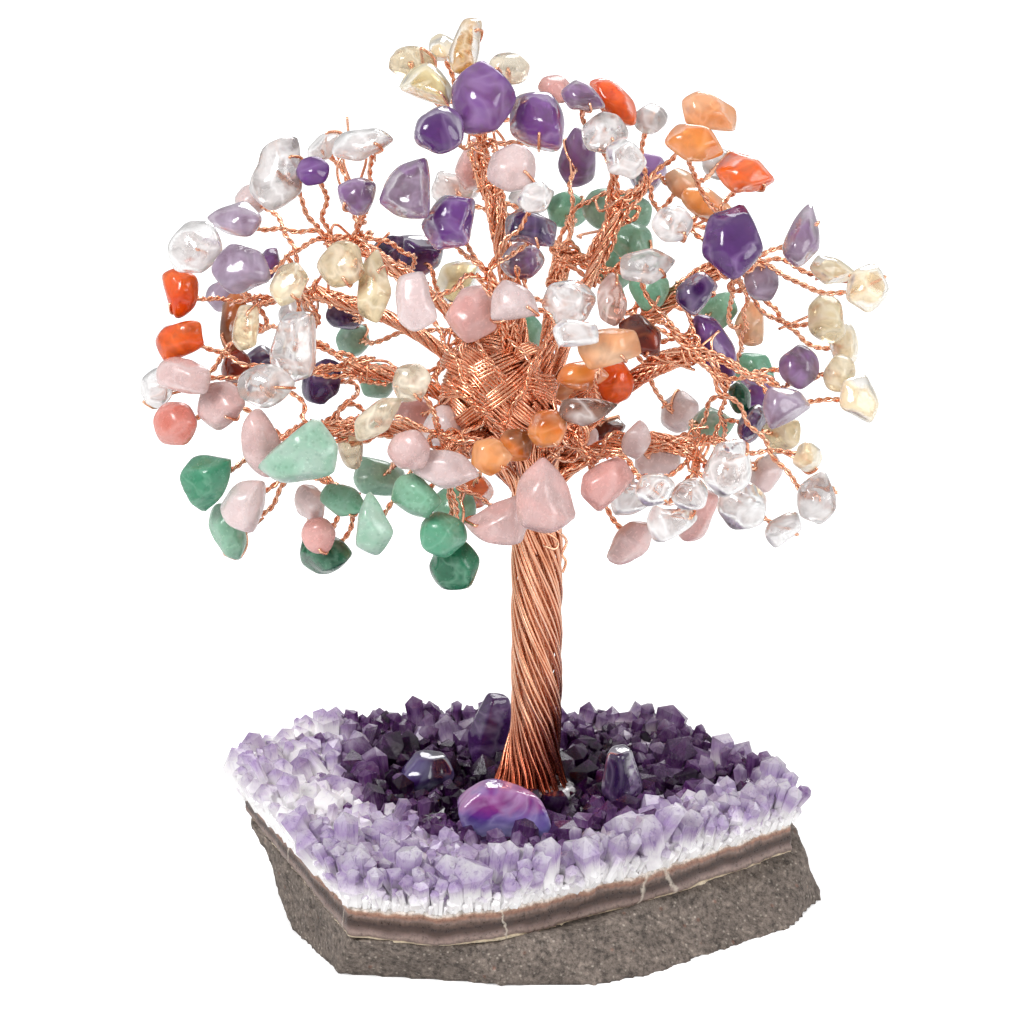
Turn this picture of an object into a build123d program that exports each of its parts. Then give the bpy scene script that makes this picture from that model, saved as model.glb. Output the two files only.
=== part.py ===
from build123d import *
import math
import os
import numpy as np

os.makedirs("parts", exist_ok=True)

# Crown: its places are shares of crown_half on a leaning plane, across and up, with a depth to the front
crown_half = 60.0
crown_across = -0.8
crown_height = 95.6
crown_depth = 32.0
crown_lean = 20.0
crown_wide_share = 1.02
crown_tall_share = 0.76
crown_middle_share = 0.06
crown_edge_share = 0.05
heart_height = 86.0

# Tumbled chips: sizes in shares of stone_unit
stone_unit = 10.0
stone_gap = 0.35
thick_wide_share = 0.5
thick_long_share = 0.12
hidden_growth = 1.2
settle_step = 1.2
settle_tries = 28

# Wire: one twisted pair through each chip, sprays of pairs, and ropes of many wires for the limbs
pair_width = 0.62
hole_width = 0.98
spray_width = 1.25
rope_width = 1.62
core_rope_width = 1.5
wire_gap = 0.12
rope_gap = 0.03
tip_proud = 0.55
stub_length = 1.4
lead_length = 2.6
chunk_length = 3.0
lead_shares = (1.0, 0.5, 1.6, 2.4)
sprays_most = 4
spray_chips_least = 5
bundle_back_share = 0.45
bundle_ahead_share = 0.1
tilt_share = 0.1
knot_reach_shares = (0.5, 0.42, 0.58, 0.34, 0.66)
detour_reaches = (2.4, 3.8, 5.6)
detour_ways = 8
room_cap = 2.5
keepout_ways = 150
rod_sides = 6
side_step = 2.6
bundle_turn_most = 105
twig_turn_most = 122
hub_room_radius = 2.3
hub_room_length = 5.5
hub_chips_most = 13
limb_room_share = 0.8
limb_bow_share = 0.16
limb_bow_place_share = 0.5

# Trunk: ropes twisted left-handed, spread at the foot
trunk_foot = 19.6
trunk_top = 76.0
trunk_pitch = 56.0
trunk_turns = 7
ring_radius = 3.55
core_radius = 1.22
foot_spread = 1.75
foot_shift = -0.9
foot_rise_share = 0.12
foot_step_share = 0.4
leave_clear_share = 0.15

# Rock: layers cut from one lump
base_across = 1.0
base_back = -3.0
lump_radius = 62.0
lump_height = 30.0
lump_sides = 12
band_floor = 11.6
band_floor_slope_shares = (-0.032, 0.13)
band_top = 15.4
band_top_slope_shares = (-0.02, 0.07)
bed_top = 17.6
bed_top_slope_shares = (-0.01, 0.03)
seat_radius = 8.4
seat_edge = 1.0
seat_sides = 10
foot_chip_sink = 0.5

# Crystals on the bed
crystal_radius = 3.0
crystal_height = 4.6
crystal_gap = 0.25
crystal_sides = 6
crystal_lean_share = 0.28
crystal_lean_ripple_share = 0.06
crystal_width_ripple_share = 0.1
crystal_height_ripple_share = 0.25
crystal_shoulder_share = 0.55
crystal_tip_share = 0.25

left_handed = -1.0
limb_sides = 5
bundle_sides = 4
pair_sides = 3
overrun = 1.0
full_turn = 360.0
golden_turn = 137.507764


def unit(vector):
    """The vector at length one."""
    return np.asarray(vector, dtype=float) / np.linalg.norm(vector)


lean = math.radians(crown_lean)
side_way = np.array((1.0, 0.0, 0.0))
up_way = np.array((0.0, math.sin(lean), math.cos(lean)))
front_way = np.array((0.0, -math.cos(lean), math.sin(lean)))
crown_centre = np.array((crown_across, 0.0, crown_height))
heart = np.array((0.0, 0.0, heart_height))
odd_way = unit((0.31, 0.52, 0.79))


def crown_point(across_share, up_share, depth):
    """A point of the crown from its shares across and up and its depth to the front."""
    shift = across_share * crown_half * side_way + up_share * crown_half * up_way
    return crown_centre + shift + depth * front_way


# Chip outlines, counted around, in shares of half the length and half the width
outlines_shares = {
    "egg": ((1.0, 0.05), (0.35, 0.95), (-0.75, 0.85), (-1.0, -0.35), (-0.1, -1.0)),
    "drop": ((1.0, 0.1), (0.1, 0.8), (-0.7, 0.95), (-1.0, -0.1), (-0.3, -0.95)),
    "wedge": ((1.0, -0.35), (0.55, 0.5), (-0.6, 1.0), (-1.0, 0.2), (-0.85, -1.0)),
    "block": ((1.0, -0.55), (0.9, 0.7), (-0.55, 1.0), (-1.0, 0.35), (-0.8, -0.9)),
    "round": ((0.95, 0.3), (0.35, 1.0), (-0.6, 0.85), (-1.0, -0.1), (-0.45, -0.95), (0.6, -0.8)),
    "heart": ((1.0, -0.6), (0.15, 1.0), (-0.3, 0.95), (-1.0, -0.7), (-0.1, -1.0)),
}
cap_shares = ((0.6, 0.12, -0.08), (0.54, -0.14, 0.1), (0.58, 0.02, 0.16), (0.62, -0.1, -0.1))

# How far to the front each layer of chips lies, in shares of the crown's depth, and how much it faces front
layer_shares = {"F": (0.74, 0.6), "M": (0.0, 0.3), "B": (-0.72, -0.4)}
layer_ripple_shares = {"F": 0.24, "M": 0.25, "B": 0.22}

# Chips: across, up, layer, turn in degrees, length, width, outline
stone_shares = {
    "amethyst": (
        (-0.12, 0.575, "F", 97, 1.22, 0.92, "egg"),
        (-0.232, 0.485, "F", 20, 0.78, 0.72, "round"),
        (0.018, 0.51, "F", -60, 1.1, 0.86, "drop"),
        (-0.31, 0.339, "F", 80, 0.96, 0.8, "wedge"),
        (-0.202, 0.255, "F", 45, 0.94, 0.8, "egg"),
        (-0.004, 0.237, "F", -15, 0.74, 0.58, "block"),
        (-0.025, 0.164, "M", -10, 0.7, 0.58, "round"),
        (-0.375, 0.203, "M", 60, 0.66, 0.48, "heart"),
        (-0.443, 0.318, "F", 180, 0.6, 0.58, "heart"),
        (-0.554, 0.387, "F", 0, 0.52, 0.45, "round"),
        (-0.762, 0.275, "F", 170, 0.86, 0.56, "drop"),
        (-0.729, 0.133, "F", -20, 0.9, 0.75, "egg"),
        (-0.684, 0.171, "M", 0, 0.5, 0.42, "block"),
        (-0.8, 0.1, "B", 10, 0.6, 0.42, "round"),
        (-0.487, 0.04, "B", -15, 0.56, 0.42, "block"),
        (-0.545, -0.133, "M", 40, 0.8, 0.65, "wedge"),
        (-0.7, -0.085, "B", 0, 0.55, 0.45, "egg"),
        (0.13, 0.57, "F", -25, 0.7, 0.5, "drop"),
        (0.116, 0.462, "B", 90, 0.86, 0.5, "egg"),
        (0.505, 0.213, "F", 70, 1.14, 0.92, "egg"),
        (0.414, 0.081, "F", 40, 0.64, 0.54, "block"),
        (0.69, 0.229, "F", 70, 1.04, 0.58, "drop"),
        (0.591, 0.117, "M", 0, 0.6, 0.58, "round"),
        (0.473, -0.064, "F", -60, 1.2, 0.54, "egg"),
        (0.687, -0.103, "M", 15, 0.66, 0.64, "round"),
        (0.648, -0.204, "F", 10, 0.82, 0.6, "wedge"),
        (0.569, -0.248, "M", 15, 0.6, 0.44, "block"),
        (-0.3, 0.2, "B", 30, 0.7, 0.6, "egg"),
        (0.6, -0.157, "B", 0, 0.6, 0.5, "block"),
        (0.3, 0.42, "B", 60, 0.7, 0.5, "round"),
    ),
    "rose_quartz": (
        (-0.05, 0.39, "F", 15, 0.74, 0.68, "round"),
        (0.06, 0.622, "M", 0, 0.54, 0.5, "round"),
        (-0.29, 0.053, "F", 100, 0.8, 0.6, "block"),
        (-0.14, 0.036, "F", 55, 0.9, 0.8, "egg"),
        (-0.042, 0.053, "F", -10, 0.74, 0.6, "wedge"),
        (-0.887, -0.129, "F", -15, 0.82, 0.58, "block"),
        (-0.793, -0.202, "F", 0, 0.78, 0.68, "egg"),
        (-0.913, -0.25, "F", -10, 0.74, 0.64, "round"),
        (-0.688, -0.293, "F", 90, 1.0, 0.6, "egg"),
        (-0.74, -0.45, "F", 60, 0.86, 0.7, "wedge"),
        (-0.57, -0.455, "M", 0, 0.6, 0.5, "block"),
        (-0.546, -0.537, "F", 0, 0.56, 0.56, "round"),
        (-0.31, -0.32, "F", 0, 0.65, 0.6, "round"),
        (-0.215, -0.368, "F", -10, 1.0, 0.56, "egg"),
        (-0.227, -0.255, "F", 0, 0.84, 0.6, "heart"),
        (0.028, -0.43, "F", 105, 1.15, 0.86, "wedge"),
        (-0.088, -0.502, "F", 195, 0.96, 0.7, "wedge"),
        (0.13, -0.294, "M", 0, 0.6, 0.58, "round"),
        (0.268, -0.29, "M", 95, 0.66, 0.42, "egg"),
        (0.193, -0.4, "F", 35, 0.86, 0.64, "block"),
        (0.247, -0.555, "M", 240, 0.8, 0.52, "wedge"),
        (0.424, -0.48, "B", 60, 0.7, 0.54, "block"),
        (0.61, -0.37, "B", 70, 0.6, 0.44, "egg"),
        (-0.31, -0.222, "B", 20, 0.6, 0.44, "round"),
        (-0.73, 0.345, "B", 0, 0.55, 0.45, "egg"),
        (-0.157, 0.436, "B", 95, 0.84, 0.45, "egg"),
        (0.33, -0.34, "B", 0, 0.6, 0.5, "block"),
        (0.39, -0.207, "B", 30, 0.6, 0.5, "round"),
    ),
    "clear_quartz": (
        (-0.64, 0.387, "F", 65, 1.12, 0.78, "egg"),
        (-0.537, 0.465, "M", 90, 0.55, 0.42, "block"),
        (-0.427, 0.458, "F", 0, 0.94, 0.5, "egg"),
        (-0.852, 0.193, "F", 40, 0.88, 0.8, "round"),
        (-0.602, -0.054, "F", 80, 1.0, 0.7, "block"),
        (-0.675, -0.157, "F", 5, 0.92, 0.68, "egg"),
        (-0.965, -0.155, "M", -30, 0.64, 0.6, "round"),
        (0.09, 0.053, "F", 0, 0.86, 0.68, "round"),
        (0.107, -0.031, "F", 0, 0.64, 0.42, "block"),
        (0.202, 0.062, "F", 85, 0.82, 0.46, "egg"),
        (0.14, -0.22, "F", 10, 0.84, 0.46, "drop"),
        (0.308, 0.535, "M", 60, 0.64, 0.5, "block"),
        (0.185, 0.491, "F", -20, 0.7, 0.64, "round"),
        (0.235, 0.415, "F", 85, 0.7, 0.6, "egg"),
        (0.354, 0.25, "F", 0, 0.64, 0.56, "round"),
        (0.293, 0.146, "F", 15, 0.86, 0.54, "egg"),
        (0.006, 0.31, "F", 0, 0.5, 0.44, "round"),
        (-0.2, 0.385, "B", 0, 0.6, 0.5, "block"),
        (-0.62, 0.04, "B", 0, 0.55, 0.5, "round"),
        (0.49, 0.44, "B", 0, 0.5, 0.45, "block"),
        (0.0, 0.36, "B", 20, 0.6, 0.5, "egg"),
        (0.5, -0.36, "F", 60, 0.94, 0.7, "egg"),
        (0.538, -0.459, "F", 0, 0.8, 0.7, "round"),
        (0.249, -0.437, "F", 0, 0.66, 0.64, "block"),
        (0.309, -0.42, "F", 0, 0.6, 0.5, "round"),
        (0.358, -0.492, "F", 10, 0.8, 0.6, "wedge"),
        (0.4, -0.43, "F", 0, 0.56, 0.48, "round"),
        (0.736, -0.44, "F", 80, 0.84, 0.62, "egg"),
        (0.648, -0.52, "F", 20, 0.58, 0.48, "block"),
    ),
    "citrine": (
        (-0.31, 0.682, "M", -20, 0.78, 0.54, "egg"),
        (-0.258, 0.609, "F", -40, 0.9, 0.6, "wedge"),
        (-0.23, 0.725, "M", 100, 0.7, 0.42, "egg"),
        (-0.165, 0.716, "F", 80, 0.9, 0.46, "block"),
        (-0.063, 0.673, "M", -10, 0.7, 0.58, "round"),
        (-0.61, 0.098, "F", 0, 0.6, 0.6, "round"),
        (-0.477, 0.146, "F", -20, 0.8, 0.7, "egg"),
        (-0.398, 0.1, "F", 88, 1.1, 0.5, "egg"),
        (-0.72, -0.01, "F", 85, 0.66, 0.44, "block"),
        (-0.197, 0.14, "B", 40, 0.76, 0.5, "egg"),
        (-0.305, -0.15, "F", 0, 0.64, 0.56, "round"),
        (-0.385, -0.236, "F", 35, 0.9, 0.42, "egg"),
        (0.769, 0.138, "F", -5, 0.8, 0.45, "drop"),
        (0.849, 0.094, "F", 70, 0.74, 0.62, "egg"),
        (0.763, 0.029, "M", 80, 0.8, 0.65, "wedge"),
        (0.812, -0.042, "M", 85, 0.8, 0.5, "egg"),
        (0.79, -0.12, "M", 0, 0.6, 0.58, "round"),
        (0.835, -0.19, "F", -60, 0.74, 0.6, "egg"),
        (0.655, -0.27, "B", 0, 0.6, 0.5, "block"),
        (0.71, -0.333, "M", -20, 0.6, 0.44, "round"),
        (-0.47, -0.3, "M", 95, 0.8, 0.42, "egg"),
    ),
    "aventurine": (
        (-0.59, -0.338, "F", 205, 1.26, 0.84, "wedge"),
        (-0.835, -0.384, "F", 50, 1.1, 0.75, "heart"),
        (-0.78, -0.53, "M", -80, 0.9, 0.6, "wedge"),
        (-0.533, -0.585, "M", 20, 0.92, 0.66, "egg"),
        (-0.48, -0.45, "F", -10, 0.8, 0.48, "egg"),
        (-0.403, -0.502, "F", 90, 0.94, 0.62, "drop"),
        (-0.295, -0.44, "F", -35, 0.75, 0.6, "block"),
        (-0.228, -0.532, "F", -30, 0.8, 0.7, "round"),
        (-0.2, -0.61, "F", 0, 0.8, 0.76, "round"),
        (-0.4, -0.38, "B", 0, 0.7, 0.5, "block"),
        (-0.4, -0.13, "B", 0, 0.6, 0.45, "egg"),
        (-0.205, -0.46, "B", 0, 0.6, 0.5, "round"),
        (0.1, 0.33, "B", 0, 0.6, 0.5, "egg"),
        (0.205, 0.17, "B", 90, 0.65, 0.5, "block"),
        (-0.47, -0.02, "B", 0, 0.5, 0.45, "round"),
        (-0.02, -0.005, "B", 90, 0.7, 0.5, "egg"),
        (0.23, 0.315, "B", 0, 0.9, 0.56, "block"),
        (0.263, 0.224, "M", 30, 0.8, 0.74, "round"),
        (0.306, 0.09, "M", -90, 0.64, 0.6, "wedge"),
        (0.49, 0.055, "B", 30, 0.6, 0.46, "block"),
        (0.536, -0.18, "M", -40, 0.5, 0.42, "round"),
        (0.467, -0.25, "B", 0, 0.8, 0.5, "egg"),
        (0.59, -0.1, "B", 0, 0.6, 0.5, "round"),
    ),
    "carnelian": (
        (0.21, 0.572, "F", -55, 0.86, 0.46, "egg"),
        (0.543, 0.373, "F", -10, 0.9, 0.66, "drop"),
        (-0.9, 0.085, "F", -80, 0.75, 0.56, "wedge"),
        (-0.896, -0.038, "F", 10, 0.8, 0.56, "block"),
        (-0.762, -0.1, "M", 0, 0.54, 0.5, "round"),
        (0.275, -0.038, "F", -45, 0.8, 0.56, "egg"),
        (0.218, -0.14, "M", 60, 0.7, 0.6, "round"),
        (0.075, -0.345, "M", -30, 0.55, 0.44, "block"),
        (-0.163, -0.424, "B", 20, 0.6, 0.48, "round"),
        (0.195, -0.25, "B", 0, 0.5, 0.42, "egg"),
    ),
    "agate": (
        (0.448, 0.54, "F", -10, 0.84, 0.6, "block"),
        (0.407, 0.448, "F", -15, 0.86, 0.58, "egg"),
        (0.388, 0.375, "M", 10, 0.64, 0.46, "round"),
        (0.455, 0.315, "M", -5, 0.9, 0.46, "egg"),
        (0.194, -0.065, "F", 10, 0.9, 0.6, "block"),
        (0.138, -0.13, "F", 0, 0.8, 0.42, "egg"),
        (0.065, -0.14, "B", 20, 0.7, 0.45, "block"),
        (0.036, -0.268, "F", 0, 0.6, 0.58, "round"),
        (-0.037, -0.307, "F", 0, 0.55, 0.48, "round"),
        (-0.1, -0.338, "F", 0, 0.66, 0.54, "egg"),
        (-0.77, 0.02, "M", -60, 1.0, 0.42, "wedge"),
        (0.57, 0.02, "B", 80, 0.6, 0.45, "egg"),
    ),
}

# Limbs: across and up shares of the hub, its depth, the angle of its place in the trunk, where it leaves
ring_limb_shares = {
    "right": (0.42, -0.06, 0.3, 6, 0.98),
    "right_upper": (0.5, 0.17, 0.22, 42, 1.06),
    "back": (-0.16, -0.02, -0.5, 100, 1.04),
    "left_middle": (-0.57, 0.1, -0.2, 136, 1.04),
    "left_lower": (-0.56, -0.27, 0.0, 168, 0.93),
    "left": (-0.48, -0.1, 0.14, 200, 1.0),
    "front_left": (-0.22, -0.3, 0.34, 231, 0.96),
    "front": (-0.08, 0.06, 0.45, 265, 1.05),
    "front_right": (0.1, -0.28, 0.34, 296, 0.97),
    "right_lower": (0.42, -0.31, 0.06, 330, 0.94),
}
core_limb_shares = {
    "top_right": (0.22, 0.31, 0.06, 0, 1.1),
    "top_back": (0.08, 0.2, -0.4, 90, 1.1),
    "top_left": (-0.44, 0.21, 0.06, 180, 1.1),
    "top": (-0.12, 0.43, 0.06, 270, 1.1),
}


class Keepout:
    """Convex pieces already placed, each held as its reach along many directions."""

    def __init__(self, count):
        steps = np.arange(count)
        rise = 1.0 - (2.0 * steps + 1.0) / count
        turn = np.radians(golden_turn) * steps
        ring = np.sqrt(1.0 - rise**2)
        spread = np.column_stack((ring * np.cos(turn), ring * np.sin(turn), rise))
        self.directions = np.vstack((np.eye(3), spread))
        self.high = np.empty((0, count + 3))
        self.low = np.empty((0, count + 3))
        self.owners = np.empty(0, dtype=object)

    def add(self, points, owner):
        """Keep a convex piece given by its corners."""
        reach = points @ self.directions.T
        self.high = np.vstack((self.high, reach.max(axis=0)))
        self.low = np.vstack((self.low, reach.min(axis=0)))
        self.owners = np.append(self.owners, owner)

    def room(self, points, passed=()):
        """The least gap, up to room_cap, between a convex piece and all but the passed owners' pieces."""
        reach = points @ self.directions.T
        high = reach.max(axis=0)
        low = reach.min(axis=0)
        box_gaps = np.maximum(low[:3] - self.high[:, :3], self.low[:, :3] - high[:3]).max(axis=1)
        near = box_gaps < room_cap
        near &= ~np.isin(self.owners, passed)
        if not near.any():
            return room_cap
        gaps = np.maximum(low - self.high[near], self.low[near] - high)
        return min(room_cap, float(gaps.max(axis=1).min()))


def rod_corners(start, end, radius):
    """Corners of a six-sided rod that holds a wire of the radius in any turn."""
    along = unit(end - start)
    side = unit(np.cross(along, odd_way))
    other = np.cross(along, side)
    turns = np.radians(np.arange(rod_sides) * full_turn / rod_sides)
    rim = np.outer(np.cos(turns), side) + np.outer(np.sin(turns), other)
    rim *= radius / math.cos(math.pi / rod_sides)
    return np.vstack((start + rim, end + rim))


def rod_chunks(route, radius):
    """Short rods along a route of points."""
    chunks = []
    for start, end in zip(route, route[1:]):
        count = max(1, math.ceil(np.linalg.norm(end - start) / chunk_length))
        marks = [start + (end - start) * step / count for step in range(count + 1)]
        chunks += [rod_corners(a, b, radius) for a, b in zip(marks, marks[1:])]
    return chunks


def keep_route(route, width, owner):
    """Keep the room of a wire along its route."""
    for chunk in rod_chunks(route, width / math.sqrt(2)):
        keepout.add(chunk, owner)


def route_room(route, width, passed=()):
    """The least gap beside a wire along its route."""
    return min(keepout.room(chunk, passed) for chunk in rod_chunks(route, width / math.sqrt(2)))


keepout = Keepout(keepout_ways)


# Limb routes from the trunk's foot to the hubs

def trunk_point(radius, start_angle, height):
    """A place of one rope in the twisted trunk, spread and shifted towards the foot."""
    share = (height - trunk_foot) / (trunk_top - trunk_foot)
    spread = max(0.0, 1.0 - share / foot_rise_share)
    turn = math.radians(start_angle) + left_handed * 2.0 * math.pi * (height - trunk_top) / trunk_pitch
    reach = radius * (1.0 + (foot_spread - 1.0) * spread**2)
    return np.array((reach * math.cos(turn) + foot_shift * spread, reach * math.sin(turn), height))


def limb_route(radius, across, up, depth_share, angle, leave_share):
    """The route of one rope: up the trunk, out at its crotch and on to its hub."""
    hub = crown_point(across, up, depth_share * crown_depth)
    leave = trunk_foot + (trunk_top - trunk_foot) * leave_share
    start = trunk_point(radius, angle, trunk_foot)
    points = [start, start + np.array((0.0, 0.0, stub_length))]
    rise = (trunk_top - trunk_foot) / trunk_turns
    heights = [trunk_foot + rise * foot_step_share]
    heights += [trunk_foot + rise * step for step in range(1, 2 * trunk_turns)]
    last = leave - rise * leave_clear_share
    points += [trunk_point(radius, angle, height) for height in heights if height < last]
    top = trunk_point(radius, angle, leave)
    points.append(top)
    flat = np.array((hub[0] - top[0], hub[1] - top[1], 0.0))
    bow = np.array((0.0, 0.0, limb_bow_share * np.linalg.norm(flat)))
    points.append(top + (hub - top) * limb_bow_place_share + bow)
    points.append(hub)
    return points


limb_routes = {}
limb_widths = {}
for limb_name, shares in ring_limb_shares.items():
    limb_routes[limb_name] = limb_route(ring_radius, *shares)
    limb_widths[limb_name] = rope_width
for limb_name, shares in core_limb_shares.items():
    limb_routes[limb_name] = limb_route(core_radius, *shares)
    limb_widths[limb_name] = core_rope_width
for limb_name, route in limb_routes.items():
    bare = route_room(route[-3:], limb_widths[limb_name] * limb_room_share)
    if bare < 0.0:
        print("limb close to another", limb_name, round(bare, 2))
    keep_route(route, limb_widths[limb_name] * limb_room_share, limb_name)
hub_rooms = []
for limb_name, route in limb_routes.items():
    hub_axis = unit(route[-1] - route[-2])
    hub_rooms.append(f"{limb_name}_room")
    hub_rod = rod_corners(route[-1], route[-1] + hub_axis * hub_room_length, hub_room_radius)
    keepout.add(hub_rod, hub_rooms[-1])


# Chip places: the front ones first, each moved back until it is clear

class Chip:
    """One drilled chip: its plane, its sizes and its corners."""

    def __init__(self, index, mineral, row):
        self.index = index
        self.name = f"chip_{index}"
        self.mineral = mineral
        self.across, self.up, self.layer, self.turn, long_share, wide_share, outline = row
        growth = hidden_growth if self.layer == "B" else 1.0
        self.half_long = stone_unit * long_share * growth / 2.0
        self.half_wide = stone_unit * wide_share * growth / 2.0
        self.thick = 2.0 * (thick_wide_share * self.half_wide + thick_long_share * self.half_long)
        self.outline = [(x * self.half_long, y * self.half_wide) for x, y in outlines_shares[outline]]
        self.front_cap = cap_shares[index % len(cap_shares)]
        self.back_cap = cap_shares[(index + 1) % len(cap_shares)]
        out_share, self.facing = layer_shares[self.layer]
        ripple = math.sin(math.radians(golden_turn * index))
        out_share += layer_ripple_shares[self.layer] * ripple
        away = (self.across / crown_wide_share) ** 2
        away += ((self.up - crown_middle_share) / crown_tall_share) ** 2
        self.depth = out_share * crown_depth * math.sqrt(max(crown_edge_share, 1.0 - away))
        self.place(self.depth)

    def place(self, depth):
        """Set the chip's plane and corners at a depth."""
        self.centre = crown_point(self.across, self.up, depth)
        outward = unit(self.centre - heart)
        self.facing_way = unit(self.facing * front_way + (1.0 - abs(self.facing)) * outward)
        turn = math.radians(self.turn)
        along = math.cos(turn) * side_way + math.sin(turn) * up_way
        along = unit(along - np.dot(along, self.facing_way) * self.facing_way)
        self.plane = Plane(
            origin=tuple(self.centre), x_dir=tuple(along), z_dir=tuple(self.facing_way)
        )
        across = np.cross(self.facing_way, along)
        corners = [self.centre + x * along + y * across for x, y in self.outline]
        for (scale, shift_x, shift_y), side in ((self.front_cap, 1.0), (self.back_cap, -1.0)):
            level = self.centre + side * self.thick / 2.0 * self.facing_way
            for x, y in self.outline:
                moved_x = x * scale + shift_x * self.half_long
                moved_y = y * scale + shift_y * self.half_wide
                corners.append(level + moved_x * along + moved_y * across)
        self.corners = np.array(corners)
        self.tip = self.centre + (self.thick / 2.0 + tip_proud) * self.facing_way
        self.lead = self.lead_point(1.0)

    def lead_point(self, share):
        """The point behind the chip where its wire bends into the drilled hole."""
        return self.centre - (self.thick / 2.0 + lead_length * share) * self.facing_way

    def shaft(self):
        """Corners of the straight run of wire behind and before the chip."""
        return rod_corners(self.lead, self.tip, pair_width / math.sqrt(2))


chips = []
for mineral, rows in stone_shares.items():
    for row in rows:
        chips.append(Chip(len(chips), mineral, row))
for layer in ("F", "M", "B"):
    for chip in [chip for chip in chips if chip.layer == layer]:
        for attempt in range(settle_tries):
            chip.place(chip.depth - attempt * settle_step)
            if keepout.room(chip.corners) > stone_gap and keepout.room(chip.shaft()) > wire_gap:
                break
        else:
            print("chip not clear", chip.mineral, chip.across, chip.up)
        keepout.add(chip.corners, chip.name)
        keepout.add(chip.shaft(), chip.name)


# Sprays: chips of one hub in small groups, each group on one bundle of wire

def split_group(group, most):
    """Split chips across their widest spread until no group is larger than the most."""
    if len(group) <= most:
        return [group]
    points = np.array([chip.lead for chip in group])
    spread = points - points.mean(axis=0)
    way = np.linalg.svd(spread, full_matrices=False)[2][0]
    order = [group[k] for k in np.argsort(spread @ way, kind="stable")]
    middle = len(order) // 2
    return split_group(order[:middle], most) + split_group(order[middle:], most)


ring_turns = np.radians(np.arange(detour_ways) * full_turn / detour_ways)
sprays = {name: [] for name in limb_routes}
hub_groups = {name: [] for name in limb_routes}
hub_ways = []
for chip in chips:
    for name, route in limb_routes.items():
        hub_ways.append((float(np.linalg.norm(route[-1] - chip.lead)), chip.index, name))
placed = set()
for way, index, name in sorted(hub_ways):
    if index not in placed and len(hub_groups[name]) < hub_chips_most:
        hub_groups[name].append(chips[index])
        placed.add(index)


def sharpest(route):
    """The sharpest bend of a route, in degrees."""
    ways = [unit(b - a) for a, b in zip(route, route[1:])]
    return max(math.degrees(math.acos(max(-1.0, min(1.0, float(a @ b))))) for a, b in zip(ways, ways[1:]))


def spray_slots(count):
    """Places of bundles beside one another on a hub's end face."""
    step = (spray_width + rope_gap) / 2.0
    rows = ((-step, -step), (step, -step), (-step, step), (step, step))
    return rows[:count] if count > 1 else ((0.0, 0.0),)


for limb_name, group in hub_groups.items():
    if not group:
        continue
    route = limb_routes[limb_name]
    hub = route[-1]
    axis = unit(route[-1] - route[-2])
    side = unit(np.cross(axis, (0.0, 0.0, 1.0)))
    lift = np.cross(side, axis)
    parts = split_group(group, max(spray_chips_least, math.ceil(len(group) / sprays_most)))
    aims = [np.mean([chip.lead for chip in part], axis=0) - hub for part in parts]
    slots = list(spray_slots(len(parts)))
    left = list(range(len(parts)))
    for slot_side, slot_lift in slots:
        score = [aims[k] @ side * slot_side + aims[k] @ lift * slot_lift for k in left]
        k = left.pop(int(np.argmax(score)))
        start = hub + side * slot_side + lift * slot_lift
        bend = start + axis * stub_length
        passed = [limb_name, *hub_rooms, *(name for name, _, _ in sprays[limb_name])]
        aim_way = unit(aims[k])
        sideways = aim_way - (aim_way @ axis) * axis
        begin = [start, bend]
        if aim_way @ axis < bundle_ahead_share:
            begin.append(bend + unit(sideways) * side_step)
        best = (-math.inf, None)
        for reach in knot_reach_shares:
            detours = [0.0 * front_way]
            for detour in detour_reaches[:2]:
                detours += [detour * (math.cos(turn) * side + math.sin(turn) * lift) for turn in ring_turns]
            for detour in detours:
                knot = bend + aims[k] * reach + detour
                if sharpest([*begin, knot]) > bundle_turn_most:
                    continue
                room = route_room([begin[-1], knot], spray_width, passed)
                if room > best[0]:
                    best = (room, knot)
                if room > wire_gap:
                    break
            if best[0] > wire_gap:
                break
        if best[0] <= wire_gap:
            print("bundle not clear", limb_name, round(best[0], 2))
        knot = best[1]
        name = f"{limb_name}_{len(sprays[limb_name])}"
        keep_route([*begin, knot], spray_width, name)
        sprays[limb_name].append((name, [*begin, knot], parts[k]))


def twig_route(knot, chip, passed):
    """The clearest route from a knot to the hole of a chip."""
    best = (-math.inf, None)
    for share in lead_shares:
        lead = chip.lead_point(share)
        straight = route_room([lead, chip.tip], pair_width, [*passed, chip.name])
        side = unit(np.cross(lead - knot, chip.facing_way + tilt_share * up_way))
        other = unit(np.cross(lead - knot, side))
        detours = [None]
        for reach in detour_reaches:
            detours += [reach * (math.cos(turn) * side + math.sin(turn) * other) for turn in ring_turns]
        for detour in detours:
            middle = [] if detour is None else [(knot + lead) / 2.0 + detour]
            route = [knot, *middle, lead]
            if sharpest([*route, chip.tip]) > twig_turn_most:
                continue
            room = min(straight, route_room(route, pair_width, passed))
            if room > best[0]:
                best = (room, [*route, chip.tip])
            if room > wire_gap:
                return best
    return best


twigs = {}
for limb_name, limb_sprays in sprays.items():
    family = [name for name, _, _ in limb_sprays]
    for spray_name, bundle, part in limb_sprays:
        for chip in part:
            room, route = twig_route(bundle[-1], chip, [spray_name, *hub_rooms])
            if room <= wire_gap:
                room, route = twig_route(bundle[-1], chip, [*family, *hub_rooms])
            if room <= wire_gap:
                print("twig not clear", spray_name, chip.mineral, chip.across, chip.up, round(room, 2))
            keep_route(route, pair_width, spray_name)
            twigs[chip.name] = route


# Solids of the wire

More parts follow.
